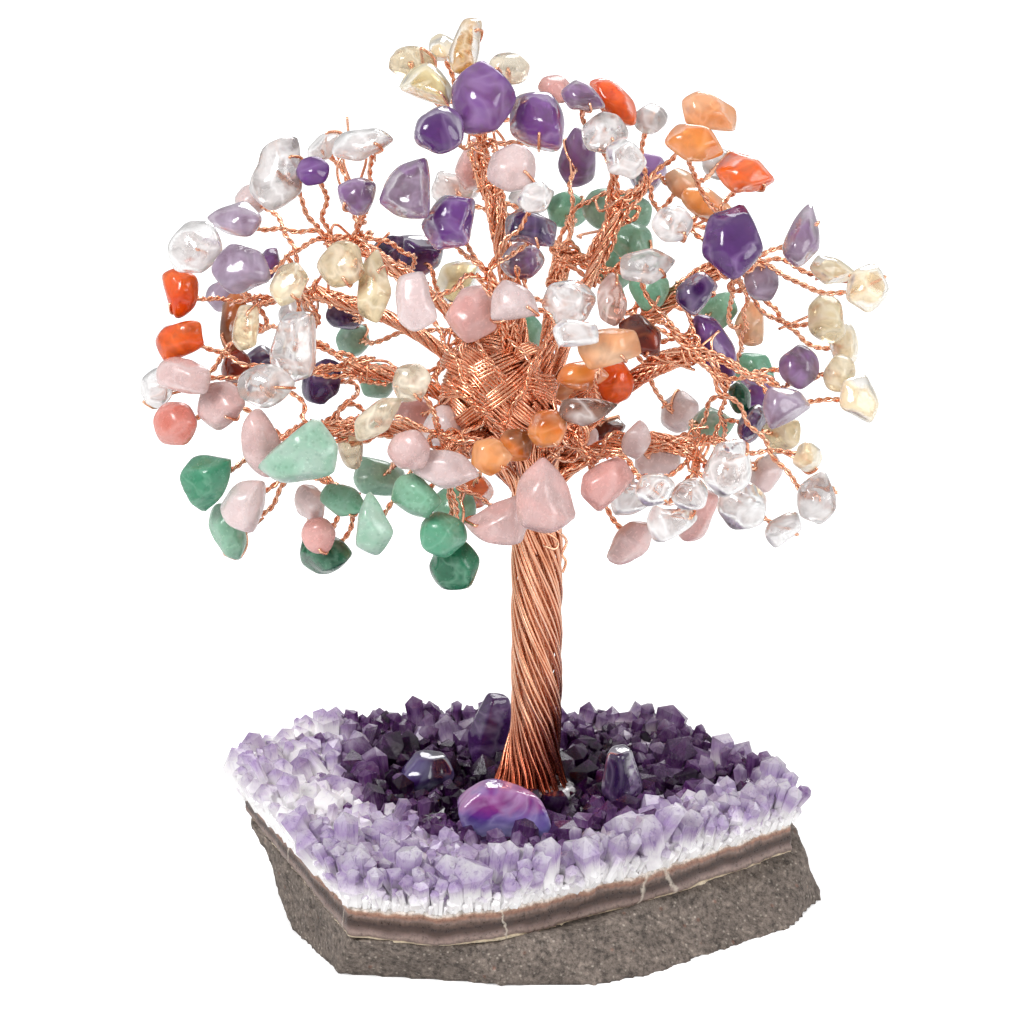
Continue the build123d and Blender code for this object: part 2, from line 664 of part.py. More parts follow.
def wire_run(route, sides, width):
    """One mitred run of wire with flat sides."""
    start, ahead = route[0], route[1]
    with BuildPart() as run:
        with BuildLine() as path:
            Polyline(*[tuple(point) for point in route])
        with BuildSketch(Plane(origin=tuple(start), z_dir=tuple(ahead - start))):
            if sides == bundle_sides:
                Rectangle(width, width)
            else:
                RegularPolygon(width / 2.0, sides)
        sweep(path=path.line, transition=Transition.RIGHT)
    return run.part


for limb_name, route in limb_routes.items():
    with BuildPart() as limb:
        add(wire_run(route, limb_sides, limb_widths[limb_name]))
    limb.part.label = f"limb_{limb_name}"
    export_step(limb.part, f"parts/limb_{limb_name}.step")

for limb_name, limb_sprays in sprays.items():
    with BuildPart() as spray_group:
        runs = []
        for spray_name, bundle, part in limb_sprays:
            runs.append(wire_run(bundle, bundle_sides, spray_width))
            back = unit(bundle[-1] - bundle[-2]) * spray_width * bundle_back_share
            for chip in part:
                runs.append(wire_run([bundle[-1] - back, *twigs[chip.name][1:]], pair_sides, pair_width))
        add(runs)
    spray_group.part.label = f"sprays_{limb_name}"
    export_step(spray_group.part, f"parts/sprays_{limb_name}.step")
    print("sprays", limb_name, len(hub_groups[limb_name]), len(spray_group.part.solids()))


# Solids of the chips

def apex(plane, chip, cap, side):
    """The point where a chip's sloping facets of one side would meet."""
    scale, shift_x, shift_y = cap
    height = chip.thick / 2.0 / (1.0 - scale)
    along = shift_x / (1.0 - scale) * chip.half_long
    across = shift_y / (1.0 - scale) * chip.half_wide
    local = (along, across, side * height)
    return Vertex(*plane.from_local_coords(local))


def chip_solid(chip):
    """A faceted chip with its drilled hole."""
    plane = chip.plane
    with BuildPart() as stone:
        with BuildSketch(plane) as girdle:
            Polygon(*chip.outline, align=None)
        face = girdle.sketch.faces()[0]
        loft(sections=[face, apex(plane, chip, chip.front_cap, 1.0)], ruled=True)
        loft(sections=[face, apex(plane, chip, chip.back_cap, -1.0)], ruled=True)
        split(bisect_by=plane.offset(chip.thick / 2.0), keep=Keep.BOTTOM)
        split(bisect_by=plane.offset(-chip.thick / 2.0), keep=Keep.TOP)
        with Locations(plane):
            Box(hole_width, hole_width, chip.thick + 2.0 * overrun, mode=Mode.SUBTRACT)
    return stone.part


# Chip groups: each mineral by its side of the crown
group_edges_shares = {
    "amethyst": (-0.35, 0.25),
    "rose_quartz": (-0.42, 0.1),
    "clear_quartz": (-0.35, 0.25),
    "citrine": (-0.35, 0.25),
    "aventurine": (-0.44, 0.0),
    "carnelian": (-0.1,),
    "agate": (0.2,),
}
side_names = {2: ("left", "middle", "right"), 1: ("left", "right")}


def group_name(chip):
    """The node that a chip belongs to."""
    edges = group_edges_shares[chip.mineral]
    side = side_names[len(edges)][sum(chip.across > edge for edge in edges)]
    return f"{chip.mineral}_{side}"


chip_groups = {}
for chip in chips:
    chip_groups.setdefault(group_name(chip), []).append(chip)
for name, group in chip_groups.items():
    with BuildPart() as stones:
        for chip in group:
            add(chip_solid(chip))
    stones.part.label = name
    export_step(stones.part, f"parts/{name}.step")
    print("chips", name, len(group), "solids", len(stones.part.solids()))


# Rock: an irregular lump, its layers cut by sloping planes

def layer_plane(height, slope_shares):
    """A plane at a height over the middle, with its rise to the right and to the back."""
    return Plane(origin=(0, 0, height), z_dir=(-slope_shares[0], -slope_shares[1], 1))


band_floor_plane = layer_plane(band_floor, band_floor_slope_shares)
band_top_plane = layer_plane(band_top, band_top_slope_shares)
bed_top_plane = layer_plane(bed_top, bed_top_slope_shares)

# Facets: azimuth in degrees, reach at the underside in shares of crown_half, lean outwards in degrees
skirt_facet_shares = (
    (205, 0.675, 1),
    (181, 0.655, 30),
    (163, 0.67, 22),
    (144, 0.7, 16),
    (104, 0.57, 6),
    (91, 0.55, -2),
    (60, 0.67, -8),
    (30, 0.68, -12),
    (12, 0.735, -18),
    (336, 0.66, -16),
    (309, 0.535, -43),
    (293, 0.54, -38),
    (271, 0.53, 4),
    (261, 0.535, 26),
)
wall_facet_shares = (
    (205, 0.677, 0),
    (181, 0.76, 7),
    (163, 0.77, 5),
    (144, 0.77, 4),
    (104, 0.58, 3),
    (91, 0.54, 0),
    (60, 0.63, -3),
    (30, 0.59, -3),
    (8, 0.645, 0),
    (307, 0.443, -8),
    (300, 0.402, 0),
    (283, 0.49, 0),
    (261, 0.6, 0),
)


def facet_plane(azimuth, reach_share, outward):
    """One flat side of the rock, facing away from its middle."""
    turn = math.radians(azimuth)
    tilt = math.radians(outward)
    reach = reach_share * crown_half
    origin = (base_across + reach * math.cos(turn), base_back + reach * math.sin(turn), 0)
    facing = (math.cos(turn) * math.cos(tilt), math.sin(turn) * math.cos(tilt), -math.sin(tilt))
    return Plane(origin=origin, z_dir=facing)


def hew(facets, floor, roof):
    """A layer of rock between two planes, with its flat sides cut one by one."""
    with BuildPart() as rock:
        with BuildSketch():
            with Locations((base_across, base_back)):
                RegularPolygon(lump_radius, lump_sides)
        extrude(amount=lump_height)
        split(bisect_by=roof, keep=Keep.BOTTOM)
        if floor is not None:
            split(bisect_by=floor, keep=Keep.TOP)
        for facet in facets:
            split(bisect_by=facet_plane(*facet), keep=Keep.BOTTOM)
    return rock.part


rock_layers = {
    "basalt_matrix": (skirt_facet_shares, None, band_floor_plane),
    "agate_band": (wall_facet_shares, band_floor_plane, band_top_plane),
    "quartz_bed": (wall_facet_shares, band_top_plane, bed_top_plane),
}
for name, (facets, floor, roof) in rock_layers.items():
    with BuildPart() as layer_part:
        add(hew(facets, floor, roof))
    layer_part.part.label = name
    export_step(layer_part.part, f"parts/{name}.step")


# Glue seat: a low pool that holds the trunk's foot
with BuildPart() as seat:
    with BuildSketch():
        with Locations((foot_shift, 0)):
            RegularPolygon(seat_radius, seat_sides)
    extrude(amount=trunk_foot)
    chamfer(seat.faces().sort_by(Axis.Z)[-1].edges(), length=seat_edge)
    split(bisect_by=bed_top_plane, keep=Keep.TOP)
seat.part.label = "glue_seat"
export_step(seat.part, "parts/glue_seat.step")


# Foot chips: place, size, turn and rise in shares of stone_unit, sunk into the bed
foot_chip_shares = {
    "foot_stone_left": (-1.72, 0.3, 0.28, 0.95, 0.66, 0.62, 35, 8, "round"),
    "foot_stone_front": (-0.5, -1.42, 0.32, 1.5, 0.8, 0.8, -8, 14, "wedge"),
    "foot_stone_right": (1.36, -0.3, 0.42, 0.78, 0.62, 1.1, 70, -10, "egg"),
    "foot_stone_back": (-0.75, 1.4, 0.5, 0.6, 0.55, 1.3, 20, 12, "block"),
}
for name, (x, y, rise, long_share, wide_share, tall_share, turn, tilt, outline) in foot_chip_shares.items():
    centre = (x * stone_unit, y * stone_unit, bed_top + rise * stone_unit - foot_chip_sink)
    half_long = long_share * stone_unit / 2.0
    half_wide = wide_share * stone_unit / 2.0
    half_tall = tall_share * stone_unit / 2.0
    middle = Plane(origin=centre, z_dir=(math.sin(math.radians(tilt)), 0, math.cos(math.radians(tilt))))
    middle = middle.rotated((0, 0, turn))
    with BuildPart() as foot_stone:
        with BuildSketch(middle) as girdle:
            Polygon(*[(u * half_long, v * half_wide) for u, v in outlines_shares[outline]], align=None)
        face = girdle.sketch.faces()[0]
        reach = half_tall / (1.0 - cap_shares[0][0])
        loft(sections=[face, Vertex(*middle.from_local_coords((0, 0, reach)))], ruled=True)
        loft(sections=[face, Vertex(*middle.from_local_coords((0, 0, -reach)))], ruled=True)
        split(bisect_by=middle.offset(half_tall), keep=Keep.BOTTOM)
        split(bisect_by=bed_top_plane, keep=Keep.TOP)
    foot_stone.part.label = name
    export_step(foot_stone.part, f"parts/{name}.step")
    foot_corners = np.array([tuple(corner.center()) for corner in foot_stone.part.vertices()])
    keepout.add(foot_corners, name)


# Crystals: hexagonal points in rings on the bed, tall and leaning outwards at the rim
facing_share = 0.2
ring_rows_shares = ((0.91, 24, 1.0, 1.0), (0.69, 17, 0.95, 0.7), (0.46, 9, 0.9, 0.5))


def bed_reach(azimuth):
    """How far the bed's rim lies from the rock's middle."""
    reaches = []
    for facet_azimuth, reach_share, outward in wall_facet_shares:
        turn = math.radians(azimuth - facet_azimuth)
        if math.cos(turn) > facing_share:
            reach = reach_share * crown_half + bed_top * math.tan(math.radians(outward))
            reaches.append(reach / math.cos(turn))
    return min(reaches)


seat_corners = np.array([tuple(corner.center()) for corner in seat.part.vertices()])
keepout.add(seat_corners, "seat")
with BuildPart() as crystals:
    count = 0
    for ring_share, number, width_share, tall_share in ring_rows_shares:
        for step in range(number):
            azimuth = full_turn * (step + 0.5 * (count % 2)) / number
            ripple = math.sin(math.radians(golden_turn * (count + step)))
            turn = math.radians(azimuth)
            reach = bed_reach(azimuth) * ring_share - crystal_radius * (1.0 - ring_share)
            foot = np.array((base_across + reach * math.cos(turn), base_back + reach * math.sin(turn)))
            radius = crystal_radius * width_share * (1.0 + crystal_width_ripple_share * ripple)
            height = crystal_height * tall_share * (1.0 + crystal_height_ripple_share * ripple)
            outward = crystal_lean_share * ring_share**2 + crystal_lean_ripple_share * ripple
            way = unit((outward * math.cos(turn), outward * math.sin(turn), 1.0))
            spot = bed_top_plane.to_local_coords(Vector(foot[0], foot[1], bed_top))
            floor_point = np.array(tuple(bed_top_plane.from_local_coords((spot.X, spot.Y, 0))))
            column = rod_corners(floor_point, floor_point + way * height, radius)
            if keepout.room(column) < crystal_gap:
                continue
            keepout.add(column, "crystal")
            with BuildSketch(bed_top_plane) as hexagon:
                with Locations((spot.X, spot.Y)):
                    RegularPolygon(radius, crystal_sides, rotation=full_turn / crystal_sides * ripple)
            rise = height * crystal_shoulder_share
            shaft = extrude(hexagon.sketch, amount=rise, dir=tuple(way), mode=Mode.PRIVATE)
            add(shaft)
            shoulder = shaft.faces().sort_by(Axis(tuple(floor_point), tuple(way)))[-1]
            tip = floor_point + way * height + radius * crystal_tip_share * np.array((ripple, -ripple, 0.0))
            loft(sections=[shoulder, Vertex(*tip)], ruled=True)
            count += 1
crystals.part.label = "amethyst_crystals"
export_step(crystals.part, "parts/amethyst_crystals.step")
print("crystals", count, "solids", len(crystals.part.solids()))
print("chips in all", len(chips))
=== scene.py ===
"""Looks of the gemstone tree ornament: tumbled chips on twisted copper wire, on an amethyst rock."""

import logging
import math
from collections import defaultdict
from collections.abc import Callable
from dataclasses import dataclass, field
from enum import Enum
from functools import cache, partial

import bpy
import numpy as np
from bpy.types import Material, Node, NodeTree, Object, Scene
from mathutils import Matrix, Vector, noise
from numpy.random import Generator, default_rng

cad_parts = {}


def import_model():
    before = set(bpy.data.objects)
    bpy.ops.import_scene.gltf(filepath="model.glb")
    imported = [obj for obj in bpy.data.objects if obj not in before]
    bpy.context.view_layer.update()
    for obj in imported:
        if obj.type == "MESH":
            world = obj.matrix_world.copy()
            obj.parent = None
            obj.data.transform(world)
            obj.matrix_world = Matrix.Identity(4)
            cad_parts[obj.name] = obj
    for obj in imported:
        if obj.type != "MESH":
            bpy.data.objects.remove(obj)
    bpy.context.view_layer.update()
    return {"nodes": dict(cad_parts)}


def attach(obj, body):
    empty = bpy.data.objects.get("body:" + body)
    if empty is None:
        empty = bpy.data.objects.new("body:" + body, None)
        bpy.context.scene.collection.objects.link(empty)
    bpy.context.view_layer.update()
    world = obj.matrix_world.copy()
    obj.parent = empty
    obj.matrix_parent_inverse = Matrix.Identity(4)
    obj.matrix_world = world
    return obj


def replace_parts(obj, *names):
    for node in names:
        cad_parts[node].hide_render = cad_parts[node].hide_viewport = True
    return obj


log = logging.getLogger("gemstone_tree")

# Short names of types that many functions share
Array = np.ndarray
Nodes = dict[str, Object]
AddNode = Callable[..., Node]
Span = tuple[float, float]
Point = tuple[float, float, float]
Stops = tuple[tuple[float, str], ...]
Bumps = tuple[float, float, int, float]

METRES_PER_MM = 0.001
# CAD corners closer than this are one, and corners this near a facet's plane lie in it
WELD_MM = 0.002
FLAT_MM = 0.01
FULL_TURN = 2.0 * math.pi
PHASES = (0.0, 6.28)
# The ornament's one body
ROOT = "root"

# The crown's plane in the photograph: shares of its half width, measured from its middle
LOOK_DOWN = math.radians(20.0)
CROWN_HALF_MM = 60.0
CROWN_MIDDLE_MM = np.array((-0.8, 0.0, 95.6))
RIGHT = np.array((1.0, 0.0, 0.0))
UPRIGHT = np.array((0.0, math.sin(LOOK_DOWN), math.cos(LOOK_DOWN)))
TO_VIEWER = np.array((0.0, -math.cos(LOOK_DOWN), math.sin(LOOK_DOWN)))

# Settings that many nodes share
BLEND = {"data_type": "RGBA"}
DARKEN = {"data_type": "RGBA", "blend_type": "MULTIPLY"}
SUM = {"operation": "ADD", "use_clamp": True}
TIMES = {"operation": "MULTIPLY"}


class Mineral(Enum):
    """The stones that the chips are cut from."""

    AMETHYST = "amethyst"
    ROSE_QUARTZ = "rose_quartz"
    CLEAR_QUARTZ = "clear_quartz"
    CITRINE = "citrine"
    AVENTURINE = "aventurine"
    CARNELIAN = "carnelian"
    AGATE = "agate"


# Rows of across and up, in thousandths of the crown's half width, and tone in hundredths: how pale
# (0) or deep (100) the chip there is
TONES = {
    Mineral.AMETHYST: (
        (-120, 575, 50), (-232, 485, 78), (18, 510, 50), (-310, 339, 28), (-202, 255, 62), (-4, 237, 97),
        (-25, 164, 30), (-375, 203, 90), (-443, 318, 30), (-554, 387, 64), (-762, 275, 8), (-729, 133, 10),
        (-684, 171, 50), (-800, 100, 6), (-487, 40, 90), (-545, -133, 92), (-700, -85, 90), (130, 570, 30),
        (116, 462, 32), (505, 213, 78), (414, 81, 90), (690, 229, 25), (591, 117, 10), (473, -64, 62),
        (687, -103, 30), (648, -204, 14), (600, -157, 50), (569, -248, 90),
    ),
    Mineral.ROSE_QUARTZ: (
        (-50, 390, 20), (-157, 436, 50), (60, 622, 60), (-290, 53, 15), (-140, 36, 50), (-42, 53, 15),
        (-887, -129, 35), (-793, -202, 40), (-913, -250, 100), (-688, -293, 40), (-740, -450, 10),
        (-570, -455, 15), (-546, -537, 70), (-310, -320, 40), (-215, -368, 15), (-227, -255, 10),
        (28, -430, 45), (-88, -502, 45), (130, -294, 40), (268, -290, 15), (193, -410, 55), (247, -555, 45),
        (424, -480, 55), (610, -370, 15), (-310, -222, 55), (-730, 345, 10),
    ),
    Mineral.CLEAR_QUARTZ: (
        (-640, 387, 35), (-427, 458, 30), (-852, 193, 25), (-602, -54, 10), (-675, -157, 20),
        (-965, -155, 15), (90, 53, 10), (107, -31, 30), (202, 62, 75), (140, -220, 100), (308, 535, 35),
        (185, 491, 5), (235, 415, 35), (354, 250, 10), (293, 146, 10), (6, 310, 20), (-200, 385, 55),
        (500, -360, 35), (538, -459, 35), (249, -437, 20), (309, -420, 15), (358, -492, 20),
        (400, -430, 15), (736, -440, 20), (648, -520, 15),
    ),
    Mineral.CITRINE: (
        (-310, 682, 30), (-258, 609, 62), (-230, 725, 30), (-165, 716, 90), (-63, 673, 12), (-610, 98, 30),
        (-477, 146, 35), (-398, 100, 40), (-720, -10, 35), (-197, 140, 55), (-305, -150, 10),
        (-385, -236, 15), (-470, -300, 30), (769, 138, 35), (849, 94, 30), (763, 29, 40), (730, -29, 35),
        (812, -42, 30), (790, -120, 35), (835, -190, 30), (655, -270, 40), (710, -333, 35),
    ),
    Mineral.AVENTURINE: (
        (-590, -338, 10), (-835, -384, 75), (-780, -530, 30), (-533, -585, 100), (-480, -450, 35),
        (-403, -502, 10), (-295, -440, 35), (-228, -532, 55), (-200, -610, 90), (-400, -380, 20),
        (-400, -130, 20), (-20, -5, 40), (-205, -460, 40), (100, 330, 35), (230, 315, 20), (263, 224, 40),
        (205, 170, 35), (306, 90, 40), (490, 55, 35), (536, -180, 95), (467, -250, 15), (590, -100, 40),
    ),
    Mineral.CARNELIAN: (
        (210, 572, 45), (543, 373, 35), (-900, 85, 45), (-896, -38, 40), (-762, -100, 80), (275, -38, 100),
        (218, -140, 50), (75, -345, 70), (195, -250, 90), (-163, -424, 10),
    ),
    Mineral.AGATE: (
        (448, 540, 30), (407, 448, 55), (388, 375, 10), (455, 315, 60), (194, -65, 20), (138, -130, 70),
        (65, -140, 20), (36, -268, 75), (-37, -307, 90), (-100, -338, 50), (-770, 20, 95), (570, 20, 20),
    ),
}
TONE_SCALE = (1000.0, 1000.0, 100.0)


def linear(hex_colour: str) -> tuple[float, float, float, float]:
    """Turns an sRGB hex colour into a linear one.

    Args:
        hex_colour: Six hex digits, such as "D98A63".

    Returns:
        Linear red, green, blue and an alpha of 1.
    """
    shares = [int(hex_colour[k : k + 2], 16) / 255.0 for k in (0, 2, 4)]
    parts = [c / 12.92 if c <= 0.04045 else ((c + 0.055) / 1.055) ** 2.4 for c in shares]
    return (parts[0], parts[1], parts[2], 1.0)


def add_node(
    tree: NodeTree, kind: str, settings: dict | None = None, links: dict | None = None
) -> Node:
    """Adds one shader node.

    Args:
        tree: The material's node tree.
        kind: The node's type name, without its "ShaderNode".
        settings: Values by property name, or by input name or number; "stops" fills a colour ramp,
            and "From" and "To" take both ends of a range.
        links: Sockets, nodes for their first live output, or names of the mesh's traits, by input
            name or number.

    Returns:
        The new node.
    """
    node = tree.nodes.new(f"ShaderNode{kind}")
    for key, value in (settings or {}).items():
        if key == "stops":
            elements = node.color_ramp.elements
            while len(elements) < len(value):
                elements.new(0.5)
            for element, (place, colour) in zip(elements, value):
                element.position = place
                element.color = linear(colour) if isinstance(colour, str) else (colour,) * 3 + (1.0,)
        elif key in ("From", "To"):
            for end, limit in zip(("Min", "Max"), value):
                node.inputs[f"{key} {end}"].default_value = limit
        elif isinstance(key, str) and key not in node.inputs:
            setattr(node, key, value)
        else:
            node.inputs[key].default_value = value
    for key, source in (links or {}).items():
        if isinstance(source, str):
            trait = add_node(tree, "Attribute", {"attribute_name": source})
            source = trait.outputs["Vector" if node.inputs[key].type == "VECTOR" else "Fac"]
        elif isinstance(source, Node):
            source = next(socket for socket in source.outputs if socket.enabled)
        tree.links.new(source, node.inputs[key])
    return node


@dataclass(frozen=True)
class Finish:
    """A surface: the name of its material, a material slot's name and the nodes that draw it."""

    name: str
    slot: str

    def shade(self, add: AddNode) -> Node:
        """Draws the surface's nodes.

        Args:
            add: Adds a node to its tree.

        Returns:
            The shader.
        """
        raise NotImplementedError

    @cache
    def material(self) -> Material:
        """Makes the material, once.

        Returns:
            The material.
        """
        material = bpy.data.materials.new(self.name)
        material.use_nodes = True
        material.node_tree.nodes.clear()
        add = partial(add_node, material.node_tree)
        add("OutputMaterial", {}, {"Surface": self.shade(add)})
        return material


def unit(vector: Array) -> Array:
    """Returns the vector, or each row of them, at length 1."""
    length = np.linalg.norm(vector, axis=-1, keepdims=True)
    return vector / np.maximum(length, 1e-9)


def clipped(shares: Array) -> Array:
    """Holds shares between 0 and 1."""
    return np.clip(shares, 0.0, 1.0)


def crown_shares(place: Array) -> tuple[float, float]:
    """Where a place shows in the crown's plane.

    Args:
        place: A point in millimetres.

    Returns:
        Its shares of the crown's half width, across and up.
    """
    away = place - CROWN_MIDDLE_MM
    return float(away @ RIGHT) / CROWN_HALF_MM, float(away @ UPRIGHT) / CROWN_HALF_MM


def crown_point(across: float, up: float, toward: float) -> Array:
    """A place by its shares in the crown's plane and its distance toward the viewer in mm."""
    plane = CROWN_MIDDLE_MM + across * CROWN_HALF_MM * RIGHT + up * CROWN_HALF_MM * UPRIGHT
    return plane + toward * TO_VIEWER


def eased(points: Array, rounds: int = 3) -> Array:
    """Rounds the corners of a line by cutting them.

    Args:
        points: The line's corners.
        rounds: How many times each corner is cut.

    Returns:
        The rounded line, with the same ends.
    """
    for _ in range(rounds):
        ahead, behind = points[1:], points[:-1]
        cut = np.empty((2 * len(ahead), 3))
        cut[0::2] = 0.75 * behind + 0.25 * ahead
        cut[1::2] = 0.25 * behind + 0.75 * ahead
        points = np.vstack((points[:1], cut, points[-1:]))
    return points


def spaced(points: Array, step: float) -> tuple[Array, Array]:
    """Places points evenly along a line.

    Args:
        points: The line.
        step: Wanted distance between points.

    Returns:
        The new points and how far along the line each is.
    """
    way = np.concatenate(([0.0], np.cumsum(np.linalg.norm(np.diff(points, axis=0), axis=1))))
    count = max(3, int(round(way[-1] / step)) + 1)
    marks = np.linspace(0.0, way[-1], count)
    return np.column_stack([np.interp(marks, way, points[:, k]) for k in range(3)]), marks


def carried(line: Array, first_side: Array) -> tuple[Array, Array, Array]:
    """Carries a side direction along a line without twist.

    Args:
        line: Points of the line.
        first_side: The side direction wanted at its start.

    Returns:
        Rows of directions: along, side and across.
    """
    along = unit(np.gradient(line, axis=0))
    side = np.empty_like(line)
    now = first_side
    for k, way in enumerate(along):
        now = now - (now @ way) * way
        if now @ now < 1e-6:
            now = np.cross(way, (0.31, 0.52, 0.79))
        now = now / math.sqrt(now @ now)
        side[k] = now
    return along, side, np.cross(along, side)


class CadSolid:
    """One closed solid of a CAD node, in millimetres, with the holes through it told apart."""

    def __init__(self, places: Array, faces: Array) -> None:
        """Keeps the solid's corners and facets.

        Args:
            places: Corner places.
            faces: Three corner numbers for each facet.
        """
        self.places = places
        self.faces = faces
        first, second, third = (places[faces[:, k]] for k in range(3))
        self.normals = unit(np.cross(second - first, third - first))
        levels = np.einsum("ij,ij->i", self.normals, first)
        beyond = (places @ self.normals.T).max(axis=0) - levels
        self.outer = beyond < FLAT_MM
        self.centre = places[np.unique(faces[self.outer])].mean(axis=0)

    def hole_way(self) -> Array:
        """The direction of the drilled hole, toward the viewer's side, or zero without a hole.

        Returns:
            Its direction, of length 1.
        """
        inner = self.normals[~self.outer]
        if len(inner) < 2:
            return np.zeros(3)
        return unit(np.linalg.svd(inner, full_matrices=False)[2][2])


def welded(node: Object) -> tuple[Array, Array]:
    """Reads a CAD node with its doubled corners joined.

    Args:
        node: The CAD node's object.

    Returns:
        Corner places in millimetres, and three corner numbers for each facet.
    """
    mesh = node.data
    raw = np.empty(len(mesh.vertices) * 3)
    mesh.vertices.foreach_get("co", raw)
    raw = raw.reshape(-1, 3) / METRES_PER_MM
    keys = np.round(raw / WELD_MM).astype(np.int64)
    _, first, joined = np.unique(keys, axis=0, return_index=True, return_inverse=True)
    mesh.calc_loop_triangles()
    corners = np.empty(len(mesh.loop_triangles) * 3, dtype=np.int64)
    mesh.loop_triangles.foreach_get("vertices", corners)
    faces = joined.ravel()[corners].reshape(-1, 3)
    whole = (faces[:, 0] != faces[:, 1]) & (faces[:, 1] != faces[:, 2]) & (faces[:, 0] != faces[:, 2])
    return raw[first], faces[whole]


def cad_solids(node: Object) -> list[CadSolid]:
    """Splits a CAD node into its separate solids.

    Args:
        node: The CAD node's object.

    Returns:
        The solids, in the order of their first corners.
    """
    places, faces = welded(node)
    parent = list(range(len(places)))

    def head(corner: int) -> int:
        """The corner that stands for all corners joined to this one.

        Args:
            corner: A corner's number.

        Returns:
            The number of its group's corner.
        """
        while parent[corner] != corner:
            parent[corner] = parent[parent[corner]]
            corner = parent[corner]
        return corner

    for a, b, c in faces.tolist():
        parent[head(a)] = head(b)
        parent[head(b)] = head(c)
    groups = defaultdict(list)
    for number, face in enumerate(faces):
        groups[head(int(face[0]))].append(number)
    solids = []
    for numbers in groups.values():
        used, again = np.unique(faces[numbers], return_inverse=True)
        solids.append(CadSolid(places[used], again.reshape(-1, 3)))
    return solids


def placed(name: str, data: bpy.types.ID) -> Object:
    """Puts a mesh, a lamp or a camera into the scene.

    Args:
        name: The object's name.
        data: What it shows.

    Returns:
        The new object.
    """
    thing = bpy.data.objects.new(name, data)
    bpy.context.scene.collection.objects.link(thing)
    return thing


def make_piece(
    name: str, places: Array, blocks: list[Array], finish: Finish, traits: dict[str, Array],
    smooth: bool = True, slot: str = "",
) -> Object:
    """Makes one mesh piece that rides on the ornament.

    Args:
        name: The piece's name.
        places: Corner places in millimetres.
        blocks: Arrays of faces, each with one number of corners.
        finish: Its surface.
        traits: Values for each corner, by attribute name.
        smooth: Whether its faces are shaded smooth.
        slot: A material slot's name, where it is not the finish's own; it is not used.

    Returns:
        The new object.
    """
    mesh = bpy.data.meshes.new(name)
    faces = [face for block in blocks for face in np.asarray(block).tolist()]
    mesh.from_pydata((places * METRES_PER_MM).tolist(), [], faces)
    mesh.polygons.foreach_set("use_smooth", np.full(len(faces), smooth))
    for key, values in traits.items():
        vector = values.ndim == 2
        layer = mesh.attributes.new(key, "FLOAT_VECTOR" if vector else "FLOAT", "POINT")
        layer.data.foreach_set("vector" if vector else "value", values.astype(np.float32).ravel())
    mesh.materials.append(finish.material())
    mesh.update()
    piece = placed(name, mesh)
    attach(piece, ROOT)
    slot or finish.slot
    log.info("piece %s: %d faces", name, len(faces))
    return piece


# A tumbled stone's own irregularities, as shares of its size
WAVE_RATES = (2.0, 4.6)
WAVE_DEPTH = 0.02
DENT_DEPTHS = (0.05, 0.17)
DENT_WIDTH = 0.16
LEAST_HEIGHT_MM = 0.3
LEAST_SPAN_MM = 0.5


class RoundedForm:
    """A tumbled stone's form: the outer planes of a CAD solid, blended into one smooth skin."""

    def __init__(
        self, solid: CadSolid, sharpness: float, swell: float, roundness: float, seed: int
    ) -> None:
        """Takes the solid's outer planes.

        Args:
            solid: The CAD solid.
            sharpness: How crisp the blended edges are; 4 is a pebble and 20 nearly a cut stone.
            swell: Growth that makes up for the rounded edges.
            roundness: How much of an oval of the same size is mixed in, from 0 to 1.
            seed: Seed of this stone's bumps and dents.
        """
        draw = default_rng(seed)
        self.centre = solid.centre
        normals = solid.normals[solid.outer]
        rows = np.unique(np.round(normals, 2), axis=0, return_index=True)[1]
        self.normals = normals[rows]
        corners = solid.places - self.centre
        self.heights = np.maximum((corners @ self.normals.T).max(axis=0), LEAST_HEIGHT_MM)
        self.sharpness = sharpness
        self.swell = swell
        self.roundness = roundness
        self.axes = np.linalg.svd(corners, full_matrices=False)[2]
        self.spans = np.maximum(np.ptp(corners @ self.axes.T, axis=0) / 2.0, LEAST_SPAN_MM)
        self.waves = unit(draw.normal(size=(6, 3))) * draw.uniform(*WAVE_RATES, (6, 1))
        self.phases = draw.uniform(0.0, FULL_TURN, 6)
        self.dents = unit(draw.normal(size=(2, 3)))
        self.dent_depths = draw.uniform(*DENT_DEPTHS, 2)
        self.turn = np.linalg.qr(draw.normal(size=(3, 3)))[0]
        self.offset = draw.uniform(-500.0, 500.0, 3)

    def reach(self, ways: Array) -> Array:
        """How far the skin is from the centre along each direction of length 1.

        Args:
            ways: Directions from the centre, of length 1.

        Returns:
            The distances in millimetres.
        """
        shares = np.clip(ways @ self.normals.T, 0.0, None) / self.heights
        reach = np.sum(shares**self.sharpness, axis=1) ** (-1.0 / self.sharpness)
        bumps = np.sin(ways @ self.waves.T + self.phases).sum(axis=1)
        dents = np.exp(-(1.0 - ways @ self.dents.T) / DENT_WIDTH) @ self.dent_depths
        oval = 1.0 / np.sqrt((((ways @ self.axes.T) / self.spans) ** 2).sum(axis=1))
        reach = (1.0 - self.roundness) * reach + self.roundness * oval
        return reach * self.swell * (1.0 + WAVE_DEPTH * bumps - dents)

    def skin(self, ball: Array) -> Array:
        """Puts the points of a unit ball on the skin, spread by the stone's own proportions."""
        ways = unit((ball * self.spans) @ self.axes)
        return self.centre + ways * self.reach(ways)[:, None]

    def grain(self, places: Array) -> Array:
        """Own coordinates in mm for the stone's pattern, turned and shifted so that no two match."""
        return (places - self.centre) @ self.turn + self.offset


